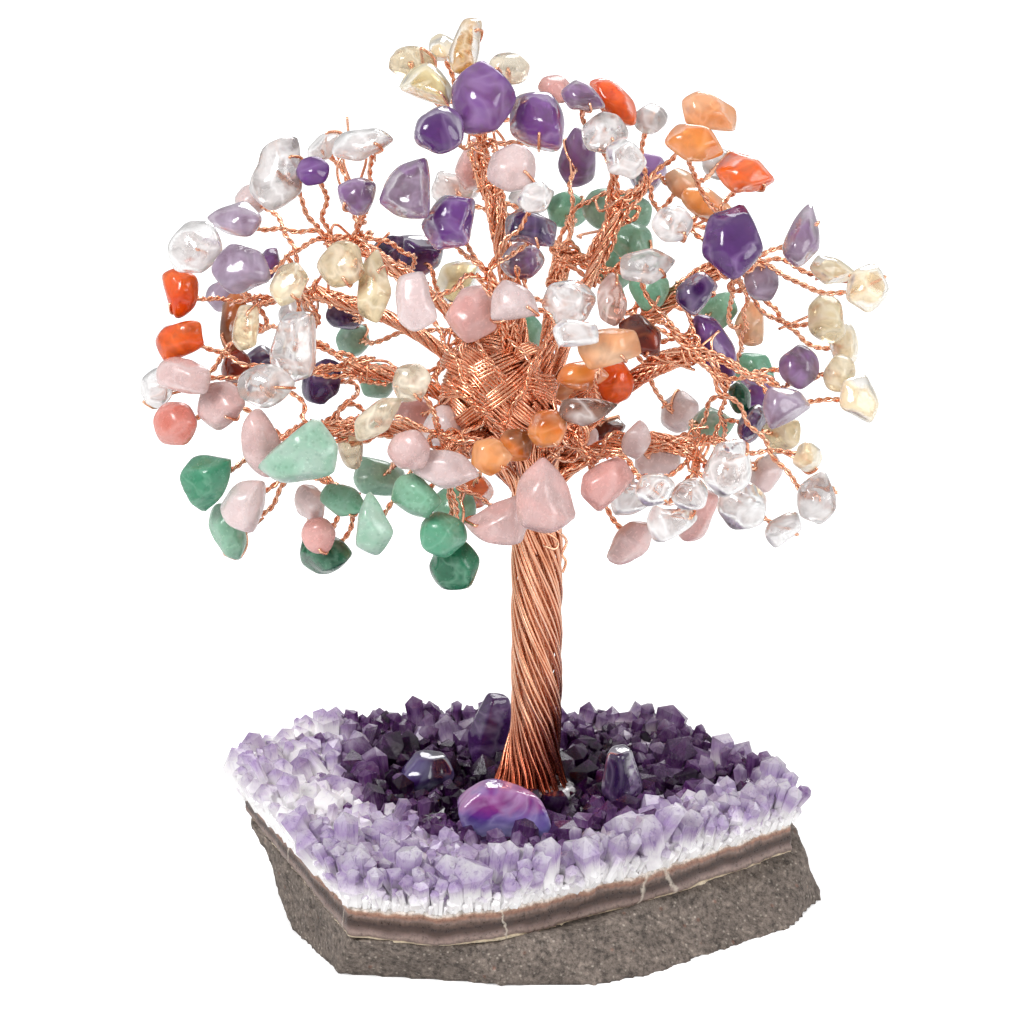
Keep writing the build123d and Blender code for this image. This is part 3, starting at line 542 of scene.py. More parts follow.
def unit_ball(subdivisions: int) -> tuple[Array, Array]:
    """Points and triangles of an even ball that the stones are shaped from.

    Args:
        subdivisions: How many times its triangles are divided.

    Returns:
        Points at distance 1, and three numbers for each triangle.
    """
    golden = (1.0 + math.sqrt(5.0)) / 2.0
    points = [unit(np.array(p)) for p in (
        (-1, golden, 0), (1, golden, 0), (-1, -golden, 0), (1, -golden, 0),
        (0, -1, golden), (0, 1, golden), (0, -1, -golden), (0, 1, -golden),
        (golden, 0, -1), (golden, 0, 1), (-golden, 0, -1), (-golden, 0, 1),
    )]
    faces = [
        (0, 11, 5), (0, 5, 1), (0, 1, 7), (0, 7, 10), (0, 10, 11), (1, 5, 9), (5, 11, 4), (11, 10, 2),
        (10, 7, 6), (7, 1, 8), (3, 9, 4), (3, 4, 2), (3, 2, 6), (3, 6, 8), (3, 8, 9), (4, 9, 5), (2, 4, 11),
        (6, 2, 10), (8, 6, 7), (9, 8, 1),
    ]
    for _ in range(subdivisions):
        middles: dict[tuple[int, int], int] = {}

        def middle(a: int, b: int) -> int:
            """The number of the point halfway between two points, made once.

            Args:
                a: One point's number.
                b: The other point's number.

            Returns:
                The halfway point's number.
            """
            key = (min(a, b), max(a, b))
            if key not in middles:
                middles[key] = len(points)
                points.append(unit(points[a] + points[b]))
            return middles[key]

        finer = []
        for a, b, c in faces:
            ab, bc, ca = middle(a, b), middle(b, c), middle(c, a)
            finer += [(a, ab, ca), (b, bc, ab), (c, ca, bc), (ab, bc, ca)]
        faces = finer
    return np.array(points), np.array(faces)


@dataclass(frozen=True)
class StoneFinish(Finish):
    """A polished stone: body colours from pale to deep, clouds, healed cracks and a wet gloss."""

    stops: Stops
    vein_colour: str
    cloud_mm: float = 5.0
    cloud_share: float = 0.3
    vein_mm: float = 4.0
    vein_width: float = 0.07
    vein_share: float = 0.5
    fleck_mm: float = 0.0
    fleck_colour: str = "8C9C8E"
    fleck_share: float = 0.26
    band_mm: float = 0.0
    band_share: float = 0.0
    roughness: float = 0.12
    transmission: float = 0.0
    transmission_in_veins: float = 0.0
    clear_least: float = 0.4
    subsurface: float = 0.0
    subsurface_mm: float = 1.5
    subsurface_radius: Point = (1.0, 0.8, 0.7)
    coat: float = 0.12
    coat_roughness: float = 0.06
    ior: float = 1.54
    bump: float = 0.14
    bump_mm: float = 3.0

    def shade(self, add: AddNode) -> Node:
        """Draws the stone's shader.

        Args:
            add: Adds a node to its tree.

        Returns:
            The shader.
        """
        cloud = add(
            "TexNoise", {"Scale": 1.0 / self.cloud_mm, "Detail": 4.0, "Roughness": 0.55, "Distortion": 0.6},
            {"Vector": "grain"},
        )
        shift = add(
            "Math", {"operation": "MULTIPLY_ADD", 1: self.cloud_share * 2.0, 2: -self.cloud_share},
            {0: cloud},
        )
        depth = add("Math", SUM, {0: "tone", 1: shift})
        if self.band_share > 0.0:
            wave = add(
                "TexWave",
                {"Scale": 0.1 / self.band_mm, "Distortion": 6.0, "Detail": 3.0, "Detail Scale": 1.5},
                {"Vector": "grain"},
            )
            banded = add(
                "Math", {"operation": "MULTIPLY_ADD", 1: self.band_share * 2.0, 2: -self.band_share},
                {0: wave.outputs["Fac"]},
            )
            depth = add("Math", SUM, {0: depth, 1: banded})
        body = add("ValToRGB", {"stops": self.stops}, {"Fac": depth})
        seam = add(
            "TexNoise", {"Scale": 1.0 / self.vein_mm, "Detail": 2.5, "Roughness": 0.5, "Distortion": 0.8},
            {"Vector": "grain"},
        )
        off = add("Math", {"operation": "SUBTRACT", 1: 0.5}, {0: seam})
        gap = add("Math", {"operation": "ABSOLUTE"}, {0: off})
        vein = add(
            "MapRange", {"From": (0.0, self.vein_width), "To": (self.vein_share, 0.0)}, {"Value": gap},
        )
        base = add("Mix", {**BLEND, 7: linear(self.vein_colour)}, {0: vein, 6: body})
        if self.fleck_mm > 0.0:
            fleck = add("TexVoronoi", {"Scale": 1.0 / self.fleck_mm}, {"Vector": "grain"})
            spot = add("MapRange", {"From": (0.1, 0.4), "To": (self.fleck_share, 0.0)}, {"Value": fleck})
            base = add("Mix", {**DARKEN, 7: linear(self.fleck_colour)}, {0: spot, 6: base})
        fine = add("TexNoise", {"Scale": 1.4, "Detail": 5.0, "Roughness": 0.6}, {"Vector": "grain"})
        rough = add(
            "MapRange", {"From": (0.3, 0.7), "To": (self.roughness * 0.6, self.roughness * 1.6)},
            {"Value": fine},
        )
        lumps = add(
            "TexNoise", {"Scale": 1.0 / self.bump_mm, "Detail": 2.0, "Roughness": 0.45}, {"Vector": "grain"},
        )
        bump = add(
            "Bump", {"Strength": self.bump, "Distance": 0.35 * self.bump_mm * METRES_PER_MM},
            {"Height": lumps},
        )
        clear = add(
            "MapRange",
            {"From": (0.0, self.vein_width), "To": (self.transmission_in_veins, self.transmission)},
            {"Value": gap},
        )
        milky = add("MapRange", {"From": (0.42, 0.6), "To": (1.0, self.clear_least)}, {"Value": cloud})
        both = add("Math", TIMES, {0: clear, 1: milky})
        return add(
            "BsdfPrincipled",
            {
                "IOR": self.ior, "Coat Weight": self.coat, "Coat Roughness": self.coat_roughness,
                "Subsurface Weight": self.subsurface, "Subsurface Radius": self.subsurface_radius,
                "Subsurface Scale": self.subsurface_mm * METRES_PER_MM,
                "Transmission Weight": self.transmission,
            }, {"Base Color": base, "Roughness": rough, "Normal": bump, "Transmission Weight": both},
        )


# Amethyst: iron-coloured quartz, tumbled; violet clouds, smoky pale zones and soft healed veils
AMETHYST = StoneFinish(
    "tumbled_amethyst", "amethyst",
    (
        (0.0, "C4B2C8"), (0.25, "7C6078"), (0.45, "885899"), (0.62, "744090"), (0.8, "55296E"),
        (1.0, "2E1744"),
    ), "C9B6D2", cloud_mm=5.0, cloud_share=0.36, vein_mm=9.0, vein_share=0.18, roughness=0.1,
    transmission=0.45, transmission_in_veins=0.2, bump=0.25,
)
# Rose quartz: milky pink quartz, tumbled; an even, soft, cloudy pink with a satin gloss
ROSE_QUARTZ = StoneFinish(
    "tumbled_rose_quartz", "rose_quartz",
    ((0.0, "E2D2D2"), (0.4, "D8B7B4"), (0.55, "E6B1AC"), (0.7, "E4A69F"), (1.0, "D87C6C")), "EADBDA",
    cloud_mm=7.0, cloud_share=0.2, vein_mm=9.0, vein_share=0.18, roughness=0.22, transmission=0.2,
    transmission_in_veins=0.08, subsurface=0.35, subsurface_mm=1.6, bump_mm=3.5, bump=0.25,
)
# Rock crystal: clear quartz, tumbled; clear windows between soft white veils
CLEAR_QUARTZ = StoneFinish(
    "tumbled_rock_crystal", "clear_quartz",
    ((0.0, "EFECEC"), (0.4, "E4DFDE"), (0.75, "D9B4A8"), (1.0, "977263")), "FBFAFA", cloud_mm=6.0,
    cloud_share=0.14, vein_mm=8.0, vein_share=0.5, roughness=0.07, transmission=0.88,
    transmission_in_veins=0.35, clear_least=0.36, bump_mm=2.8, bump=0.2,
)
# Citrine: pale yellow quartz, tumbled; a clear straw tint with a few veils
CITRINE = StoneFinish(
    "tumbled_citrine", "citrine", ((0.0, "F2EADC"), (0.35, "F4E2BE"), (0.65, "E4D29E"), (1.0, "D4963E")),
    "F6EFDC", cloud_mm=5.0, cloud_share=0.15, vein_mm=8.0, vein_width=0.06, vein_share=0.5, roughness=0.08,
    transmission=0.8, transmission_in_veins=0.35, clear_least=0.3, bump_mm=2.8, bump=0.2,
)
# Green aventurine: quartz with fine mica, tumbled; flecked mint to deep green, hardly translucent
AVENTURINE = StoneFinish(
    "tumbled_green_aventurine", "aventurine",
    ((0.0, "AFC9BA"), (0.2, "8FB7A0"), (0.4, "79AE90"), (0.6, "549F7E"), (0.8, "2C8460"), (1.0, "0A5034")),
    "9CCBB2", cloud_mm=4.0, vein_mm=7.0, vein_width=0.05, vein_share=0.25, fleck_mm=0.9, roughness=0.2,
    transmission=0.1, subsurface=0.3,
)
# Carnelian: iron-red chalcedony, tumbled; a glassy glow from orange to brown red
CARNELIAN = StoneFinish(
    "tumbled_carnelian", "carnelian",
    ((0.0, "E69A72"), (0.35, "F06414"), (0.6, "E2480A"), (0.8, "A02A0A"), (1.0, "54180A")), "F08A48",
    cloud_mm=4.0, cloud_share=0.24, vein_mm=7.0, vein_width=0.08, vein_share=0.1, band_mm=3.0,
    band_share=0.08, roughness=0.12, transmission=0.5, transmission_in_veins=0.2, subsurface=0.2, bump=0.25,
)
# Orange agate: banded chalcedony, tumbled; peach and honey bands that curve through the stone
AGATE = StoneFinish(
    "tumbled_orange_agate", "agate",
    ((0.0, "EBC4A2"), (0.3, "ECA470"), (0.6, "EA9242"), (0.8, "DC7424"), (1.0, "955022")), "F4D8B4",
    cloud_mm=4.5, cloud_share=0.2, vein_mm=7.0, vein_width=0.08, vein_share=0.14, band_mm=2.4,
    band_share=0.14, roughness=0.13, transmission=0.35, transmission_in_veins=0.15, subsurface=0.25,
    bump=0.25,
)

CHIP_FINISHES = {
    Mineral.AMETHYST: AMETHYST, Mineral.ROSE_QUARTZ: ROSE_QUARTZ, Mineral.CLEAR_QUARTZ: CLEAR_QUARTZ,
    Mineral.CITRINE: CITRINE, Mineral.AVENTURINE: AVENTURINE, Mineral.CARNELIAN: CARNELIAN,
    Mineral.AGATE: AGATE,
}


@dataclass(frozen=True)
class CopperFinish(Finish):
    """Drawn craft wire of bare copper: bright and pink on the crowns, with painted shade and reflection
    browning it near the rock.
    """

    name: str = "drawn_copper_wire"
    slot: str = "copper_wire"
    stops: Stops = ((0.3, "E49C78"), (0.5, "F8BA98"), (0.65, "FCCAAE"), (0.8, "FEDAC6"))
    patch_mm: float = 5.0
    roughness: float = 0.2
    # Painted shade and painted reflection of the dark rock: low on the trunk the wire's colour is multiplied
    # toward this brown, fading out upward over the blend in mm
    foot_shade_colour: str = "C68C7E"
    foot_shade_below: float = 36.0
    foot_shade_blend: float = 14.0

    def shade(self, add: AddNode) -> Node:
        """Draws the wire's shader.

        Args:
            add: Adds a node to its tree.

        Returns:
            The shader.
        """
        patch = add(
            "TexNoise", {"Scale": 1.0 / self.patch_mm, "Detail": 4.0, "Roughness": 0.6}, {"Vector": "grain"},
        )
        colour = add("ValToRGB", {"stops": self.stops}, {"Fac": patch})
        # Painted shade and reflection near the rock: darkens the wire's colour toward brown low on the trunk
        foot_shaded = add("Mix", {**DARKEN, 7: linear(self.foot_shade_colour)}, {0: "worn", 6: colour})
        fine = add("TexNoise", {"Scale": 3.0, "Detail": 3.0}, {"Vector": "grain"})
        rough = add(
            "MapRange", {"From": (0.3, 0.7), "To": (self.roughness * 0.75, self.roughness * 1.5)},
            {"Value": fine},
        )
        bump = add("Bump", {"Strength": 0.2, "Distance": 0.05 * METRES_PER_MM}, {"Height": fine})
        return add(
            "BsdfPrincipled", {"Metallic": 1.0},
            {"Base Color": foot_shaded, "Roughness": rough, "Normal": bump},
        )


# How tumbled the chips are, and how a chip's tone strays where the table has no row for it
CHIP_SHARPNESS = (9.0, 18.0)
CHIP_SWELL = 1.17
CHIP_ROUNDNESS = (0.12, 0.36)
TONE_REACH = 0.02
TONE_STRAY = 0.06


class Chip:
    """One drilled chip: its rounded form, its hole and where it shows in the crown."""

    def __init__(self, solid: CadSolid, mineral: Mineral, seed: int) -> None:
        """Rounds the solid and finds its hole and tone.

        Args:
            solid: The chip's CAD solid.
            mineral: The stone that it is cut from.
            seed: Seed of its own bumps and pattern.
        """
        draw = default_rng(seed)
        self.mineral = mineral
        sharpness, roundness = (float(draw.uniform(*ends)) for ends in (CHIP_SHARPNESS, CHIP_ROUNDNESS))
        self.form = RoundedForm(solid, sharpness, CHIP_SWELL, roundness, seed)
        self.way = solid.hole_way()
        self.centre = solid.centre
        self.shares = crown_shares(self.centre)
        marks = np.array(TONES[mineral]) / TONE_SCALE
        away = np.hypot(marks[:, 0] - self.shares[0], marks[:, 1] - self.shares[1])
        nearest = int(np.argmin(away))
        stray = 0.0 if away[nearest] < TONE_REACH else draw.normal() * TONE_STRAY
        self.tone = float(marks[nearest, 2]) + stray

    def mouth(self, side: float) -> Array:
        """The middle of the hole's mouth on one side, 1 or -1 along the hole."""
        way = self.way * side
        return self.centre + way * self.form.reach(way[None, :])[0]


@dataclass
class TumbledChips:
    """All drilled chips of the crown, one mesh for each CAD node of one mineral and side."""

    ball_subdivisions: int = 3
    first_seed: int = 4100
    chips: list[Chip] = field(default_factory=list)

    def build(self, nodes: Nodes) -> None:
        """Replaces every chip node by its tumbled chips.

        Args:
            nodes: The CAD nodes by name.
        """
        ball, triangles = unit_ball(self.ball_subdivisions)
        for mineral, finish in CHIP_FINISHES.items():
            for side in ("left", "middle", "right"):
                name = f"{mineral.value}_{side}"
                if name in nodes:
                    self.dress(name, nodes[name], mineral, finish, ball, triangles)

    def dress(
        self, name: str, node: Object, mineral: Mineral, finish: StoneFinish, ball: Array, triangles: Array
    ) -> None:
        """Makes the tumbled chips of one node.

        Args:
            name: The node's name.
            node: The CAD node.
            mineral: Its stone.
            finish: The stone's finish.
            ball: Points of a unit ball.
            triangles: The ball's triangles.
        """
        places, faces, tones, grains = [], [], [], []
        for solid in cad_solids(node):
            chip = Chip(solid, mineral, self.first_seed + len(self.chips))
            skin = chip.form.skin(ball)
            faces.append(triangles + len(ball) * len(places))
            places.append(skin)
            tones.append(np.full(len(ball), chip.tone))
            grains.append(chip.form.grain(skin))
            self.chips.append(chip)
        piece = make_piece(
            f"tumbled_{name}", np.vstack(places), [np.vstack(faces)], finish,
            {"tone": np.concatenate(tones), "grain": np.vstack(grains)},
        )
        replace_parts(piece, name)


# Moves each wire's pattern on, so that no two wires match
PATTERN_SHIFT_MM = 37.0


class WireDrawer:
    """Collects round wires and turns them into one mesh."""

    def __init__(self, sides: int) -> None:
        """Starts with no wire.

        Args:
            sides: Sides of each wire's section.
        """
        self.sides = sides
        turns = np.arange(sides) * FULL_TURN / sides
        self.ring = np.column_stack((np.cos(turns), np.sin(turns)))
        self.places: list[Array] = []
        self.grains: list[Array] = []
        self.quads: list[Array] = []
        self.caps: list[Array] = []
        self.count = 0
        self.wires = 0

    def add(self, line: Array, side: Array, radius: float) -> None:
        """Adds one wire.

        Args:
            line: Points along its middle.
            side: A direction beside each point.
            radius: The wire's radius.
        """
        along = unit(np.gradient(line, axis=0))
        side = unit(side - np.einsum("ij,ij->i", side, along)[:, None] * along)
        across = np.cross(along, side)
        rings = line[:, None, :] + radius * (
            self.ring[None, :, 0, None] * side[:, None, :] + self.ring[None, :, 1, None] * across[:, None, :]
        )
        number = np.arange(len(line) * self.sides).reshape(len(line), self.sides) + self.count
        ahead = np.roll(number, -1, axis=1)
        self.quads.append(
            np.stack((number[:-1], ahead[:-1], ahead[1:], number[1:]), axis=-1).reshape(-1, 4)
        )
        self.caps.append(np.stack((number[0][::-1], number[-1])))
        flat = rings.reshape(-1, 3)
        self.places.append(flat)
        self.grains.append(flat + np.array((0.0, 0.0, PATTERN_SHIFT_MM * self.wires)))
        self.count += len(flat)
        self.wires += 1

    def piece(self, name: str, finish: CopperFinish) -> Object:
        """Makes the mesh piece of all wires added.

        Args:
            name: The piece's name.
            finish: The wire's finish.

        Returns:
            The new object.
        """
        places = np.vstack(self.places)
        return make_piece(
            name, places, [np.vstack(self.quads), np.vstack(self.caps)], finish,
            {
                "grain": np.vstack(self.grains),
                # Share of painted shade near the rock: 1 low on the trunk, 0 high up
                "worn": clipped((finish.foot_shade_below - places[:, 2]) / finish.foot_shade_blend),
            },
        )


def ring_walk(places: Array, faces: Array, first: set[int], size: int) -> list[Array]:
    """Walks along a prism of wire from one end, ring by ring.

    Args:
        places: Corner places of the node.
        faces: Its facets.
        first: The corners of the first ring.
        size: Corners of a whole ring.

    Returns:
        The middle of each ring; the last is the middle of what a twig grows from.
    """
    beside = defaultdict(set)
    for a, b, c in faces.tolist():
        beside[a].update((b, c))
        beside[b].update((a, c))
        beside[c].update((a, b))
    middles, seen, ring = [], set(first), set(first)
    while ring:
        middles.append(places[list(ring)].mean(axis=0))
        if len(ring) != size:
            break
        ring = set().union(*(beside[k] for k in ring)) - seen
        seen |= ring
    return middles


@dataclass
class Limb:
    """One rope of wires from the rock to its hub, and the twisted pairs that it opens into."""

    name: str
    line: Array
    side: Array
    way: Array
    leaves_at: float
    axis_shift: Array
    skin_turns: list[float] = field(default_factory=list)

    @property
    def hub(self) -> Array:
        """Where the rope ends."""
        return self.line[-1]

    @property
    def turn(self) -> float:
        """Its angle round the trunk's axis at the foot."""
        return math.atan2(self.line[0, 1], self.line[0, 0] - self.axis_shift[0])

    @property
    def reach(self) -> Array:
        """Its distance from the trunk's axis, all along."""
        return np.hypot(self.line[:, 0] - self.axis_shift, self.line[:, 1])


@dataclass
class CopperTree:
    """The wire of the ornament: trunk ropes, limbs, and a twisted pair for every chip."""

    wire_radius: float = 0.235
    rope_wires: int = 15
    skin_count: int = 44
    skin_lift: float = 0.05
    core_wires: int = 6
    strands: int = 7
    strand_rise: float = 0.6
    ring_reach: float = 2.6
    spread_top: float = 31.0
    spread_run: float = 11.4
    foot_shift: float = -1.2
    line_step: float = 1.0
    bundle_pitch: float = 17.0
    pair_pitch: float = 2.9
    pair_step: float = 0.36
    pair_half_gap: float = 0.235
    pair_radius: float = 0.24
    trunk_sides: int = 7
    pair_sides: int = 5
    twig_side: float = 0.537
    twig_slack: float = 0.012
    loop_share: float = 0.42
    rope_corners: int = 5
    twig_corners: int = 3
    foot_sink: float = 1.5
    leave_run: float = 5.0
    spread_gain: float = 0.55
    spread_power: float = 2.2
    spread_most: float = 1.15
    open_before: float = 4.0
    open_run: float = 9.0
    outer_oval: Span = (1.32, 0.66)
    inner_oval: Span = (0.72, 0.26)
    strand_power: float = 0.7
    strand_sink: float = 0.55
    wander: float = 0.07
    wander_run: float = 9.0
    core_reach: float = 0.6
    core_inset: float = 0.26
    core_width: float = 0.3
    join_inset: float = 0.5
    back_steps: tuple[int, int] = (2, 13)
    root_spread: Span = (-1.5, 1.5)
    root_stray: float = 0.6
    knot_stray: float = 0.5
    fan_reach: Span = (0.7, 1.7)
    fan_step: float = 2.4
    fan_rate: float = 0.12
    fan_from: float = 4.0
    fan_fade: float = 6.0
    bend: float = 0.32
    bend_lengths: Span = (5.0, 10.0)
    bundle_gap: float = 1.9
    bind_turns: Span = (0.8, 1.8)
    turn_points: int = 22
    bind_reach: Span = (1.7, 2.3)
    bind_from: Span = (-7.0, 1.5)
    bind_pitch: Span = (0.08, 0.3)
    tangles: int = 3
    tangle_from: Span = (-5.0, 3.5)
    tangle_reach: Span = (2.5, 6.5)
    seed: int = 77
    finish: CopperFinish = field(default_factory=CopperFinish)
    limbs: dict[str, Limb] = field(default_factory=dict)

    def build(self, nodes: Nodes, chips: list[Chip]) -> None:
        """Builds the limbs and sprays that replace their CAD nodes, and the windings at the crotch.

        Args:
            nodes: The CAD nodes by name.
            chips: Every chip of the crown.
        """
        self.read_limbs(nodes)
        self.share_skin()
        for limb in self.limbs.values():
            drawer = WireDrawer(self.trunk_sides)
            self.lay_rope(drawer, limb)
            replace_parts(drawer.piece(f"rope_{limb.name}", self.finish), f"limb_{limb.name}")
        for number, limb in enumerate(self.limbs.values()):
            draw = default_rng(self.seed + number)
            drawer = WireDrawer(self.pair_sides)
            self.lay_pairs(drawer, limb, nodes[f"sprays_{limb.name}"], chips, draw)
            self.bind_hub(drawer, limb, draw)
            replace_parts(drawer.piece(f"pairs_{limb.name}", self.finish), f"sprays_{limb.name}")
        Crotch().build(self.finish)

    def read_limbs(self, nodes: Nodes) -> None:
        """Follows each limb's CAD rope and smooths it into the line of its wires.

        Args:
            nodes: The CAD nodes by name.
        """
        for node_name, node in nodes.items():
            if node_name.startswith("limb_"):
                places, faces = welded(node)
                start = set(np.argsort(places[:, 2])[: self.rope_corners].tolist())
                name = node_name[len("limb_") :]
                route = ring_walk(places, faces, start, self.rope_corners)
                self.limbs[name] = self.smooth_limb(name, np.array(route))

    def shift_at(self, heights: Array) -> Array:
        """How far the trunk's axis stands aside at each height."""
        return self.foot_shift * clipped((self.spread_top - heights) / self.spread_run)

    def smooth_limb(self, name: str, line: Array) -> Limb:
        """Turns the straight runs of a CAD rope into one smooth line.

        Args:
            name: The limb's name.
            line: The corners of the CAD route, from the foot to the hub.

        Returns:
            The limb.
        """
        trunk, leave = line[1:-2], float(line[-3][2])
        flat_x = trunk[:, 0] - self.shift_at(trunk[:, 2])
        angle = np.unwrap(np.arctan2(trunk[:, 1], flat_x))
        reach = np.hypot(flat_x, trunk[:, 1])
        heights = np.arange(float(line[0][2]) - self.foot_sink, leave - self.leave_run, self.line_step)
        angles = np.interp(heights, trunk[:, 2], angle)
        rate = (angle[-1] - angle[1]) / (trunk[-1, 2] - trunk[1, 2])
        below = heights < trunk[1, 2]
        angles[below] = angle[1] + rate * 0.5 * (heights[below] - trunk[1, 2])
        spread = np.clip((self.spread_top - heights) / self.spread_run, 0.0, self.spread_most)
        usual = float(np.median(reach[2:]))
        reaches = usual * (1.0 + self.spread_gain * spread**self.spread_power)
        shifts = self.shift_at(heights)
        head = np.column_stack((reaches * np.cos(angles) + shifts, reaches * np.sin(angles), heights))
        tail = eased(np.vstack((head[-1], line[-3], line[-2], line[-1])), 4)
        whole, way = spaced(np.vstack((head[:-1], tail)), self.line_step)
        shift = self.shift_at(whole[:, 2])
        along, side, _ = carried(whole, np.array((math.cos(angles[0]), math.sin(angles[0]), 0.0)))
        in_trunk = whole[:, 2] < leave - self.leave_run
        last = int(np.argmin(in_trunk)) if not in_trunk.all() else len(whole)
        radial = unit(np.column_stack((whole[:last, 0] - shift[:last], whole[:last, 1], np.zeros(last))))
        radial -= np.einsum("ij,ij->i", radial, along[:last])[:, None] * along[:last]
        side[:last] = unit(radial)
        if last < len(whole):
            side[last - 1 :] = carried(whole[last - 1 :], side[last - 1])[1]
        return Limb(name, whole, side, way, float(way[last - 1]), shift)

    def share_skin(self) -> None:
        """Shares the trunk's even outer wires among the ropes that lie nearest to them."""
        ring = [limb for limb in self.limbs.values() if np.median(limb.reach[5:20]) > self.ring_reach]
        for number in range(self.skin_count):
            turn = FULL_TURN * number / self.skin_count
            offsets = [(turn - limb.turn + math.pi) % FULL_TURN - math.pi for limb in ring]
            nearest = int(np.argmin(np.abs(offsets)))
            ring[nearest].skin_turns.append(offsets[nearest])

    def lay_rope(self, drawer: WireDrawer, limb: Limb) -> None:
        """Lays a rope's wires: on the trunk's skin below, in a flat twisted bundle above.

        Args:
            drawer: Takes the wires.
            limb: The limb.
        """
        along = unit(np.gradient(limb.line, axis=0))
        across = np.cross(along, limb.side)
        past = limb.way - limb.leaves_at
        open_share = clipped((past + self.open_before) / self.open_run)
        open_share = open_share**2 * (3.0 - 2.0 * open_share)
        turn = np.clip(past, 0.0, None) * FULL_TURN / self.bundle_pitch
        reach = limb.reach
        inner_from = int(np.searchsorted(limb.way, limb.leaves_at - self.open_run)) if limb.skin_turns else 0
        for number in range(self.rope_wires):
            start = FULL_TURN * number / self.rope_wires
            wide, narrow = self.outer_oval if number % 3 else self.inner_oval
            oval_side = narrow * np.cos(start + turn)
            oval_across = wide * np.sin(start + turn)
            if number < len(limb.skin_turns):
                first, offset = 0, sorted(limb.skin_turns)[number]
                strand = abs(math.cos((limb.turn + offset) * self.strands / 2.0)) ** self.strand_power
                strand -= self.strand_sink
                phase = 2.3 * number + limb.turn * 3.0
                wander = self.wander * np.sin(limb.line[:, 2] / self.wander_run + phase)
                lift = self.skin_lift + self.strand_rise * strand
                trunk_side = (reach + lift) * np.cos(offset + wander) - reach
                trunk_across = (reach + lift) * np.sin(offset + wander)
            else:
                core = limb.skin_turns and number < len(limb.skin_turns) + self.core_wires
                first = 0 if core else inner_from
                inset = self.core_inset * reach if core else self.join_inset
                trunk_side = self.core_reach * math.cos(start) - inset
                core_across = self.core_width * reach if core else np.full(len(reach), self.core_reach)
                trunk_across = math.sin(start) * core_across
            off_side = (1.0 - open_share) * trunk_side + open_share * oval_side
            off_across = (1.0 - open_share) * trunk_across + open_share * oval_across
            wire = limb.line + off_side[:, None] * limb.side + off_across[:, None] * across
            drawer.add(wire[first:], limb.side[first:], self.wire_radius)

    def lay_pairs(
        self, drawer: WireDrawer, limb: Limb, node: Object, chips: list[Chip], draw: Generator
    ) -> None:
        """Lays the twisted pair of each chip that the limb carries.

        Args:
            drawer: Takes the wires.
            limb: The limb.
            node: The CAD node of the limb's sprays.
            chips: Every chip of the crown.
            draw: Source of its irregularities.
        """
        places, faces = welded(node)
        twigs = [ring_walk(places, faces, end, self.twig_corners) for end in self.twig_ends(places, faces)]
        mouths = np.array([chip.mouth(1.0) for chip in chips])
        backs = np.array([chip.mouth(-1.0) for chip in chips])
        knots = self.knots(np.array([twig[-1] for twig in twigs]))
        axis = unit(limb.line[-1] - limb.line[-2])
        for number, twig in enumerate(twigs):
            tip = twig[0]
            near = np.minimum(np.linalg.norm(mouths - tip, axis=1), np.linalg.norm(backs - tip, axis=1))
            chip = chips[int(np.argmin(near))]
            back = int(draw.integers(*self.back_steps))
            middle = limb.hub + axis * draw.uniform(*self.root_spread) + draw.normal(size=3) * self.root_stray
            knot = knots[number] + draw.normal(size=3) * self.knot_stray
            first, second = limb.line[-2 - back], limb.line[-2 - back // 2]
            body = [first, second, middle, knot, *twig[-2:0:-1], chip.centre]
            line, way = spaced(eased(np.array(body), 3), self.pair_step)
            self.lay_pair(drawer, line, way, draw.uniform(*self.fan_reach), number * self.fan_step, draw)
            if draw.uniform() < self.loop_share:
                self.lay_loop(drawer, chip, twig[0], twig[1])

    def twig_ends(self, places: Array, faces: Array) -> list[set[int]]:
        """Finds the even small triangles that close the ends of the twigs.

        Args:
            places: Corner places.
            faces: Facets.

        Returns:
            The corners of each end.
        """
        corners = places[faces]
        sides = np.linalg.norm(corners - np.roll(corners, 1, axis=1), axis=2)
        even = np.all(np.abs(sides - self.twig_side) < self.twig_slack, axis=1)
        return [set(face.tolist()) for face in faces[even]]

    def knots(self, roots: Array) -> Array:
        """Gathers twigs that grow from one bundle.

        Args:
            roots: Where each twig leaves its bundle.

        Returns:
            The bundle's end for each twig.
        """
        knots = roots.copy()
        for k, root in enumerate(roots):
            near = np.linalg.norm(roots - root, axis=1) < self.bundle_gap
            knots[k] = roots[near].mean(axis=0)
        return knots

    def lay_pair(
        self, drawer: WireDrawer, line: Array, way: Array, fan_reach: float, fan: float, draw: Generator
    ) -> None:
        """Lays two wires twisted round each other, with the slight waves of hand-bent wire.

        Args:
            drawer: Takes the wires.
            line: The pair's middle.
            way: Distance along it.
            fan_reach: How far it lies from its bundle's middle at the start.
            fan: The direction in which it lies there.
            draw: Source of its waves.
        """
        _, side, across = carried(line, np.array((0.37, 0.21, 0.9)))
        spread = fan_reach * np.exp(-np.clip(way - self.fan_from, 0.0, None) / self.fan_fade)
        fan_turn = fan + self.fan_rate * way
        ease = np.sin(math.pi * clipped(way / way[-1]))
        lengths, phases = draw.uniform(*self.bend_lengths, 2), draw.uniform(*PHASES, 2)
        wave_side, wave_across = (
            self.bend * ease * np.sin(way * FULL_TURN / length + phase)
            for length, phase in zip(lengths, phases)
        )
        middle = line + (spread * np.cos(fan_turn) + wave_side)[:, None] * side
        middle = middle + (spread * np.sin(fan_turn) + wave_across)[:, None] * across
        for half in (0.0, math.pi):
            turn = -way * FULL_TURN / self.pair_pitch + half + fan
            swing = self.pair_half_gap * (np.cos(turn)[:, None] * side + np.sin(turn)[:, None] * across)
            drawer.add(middle + swing, side, self.pair_radius)

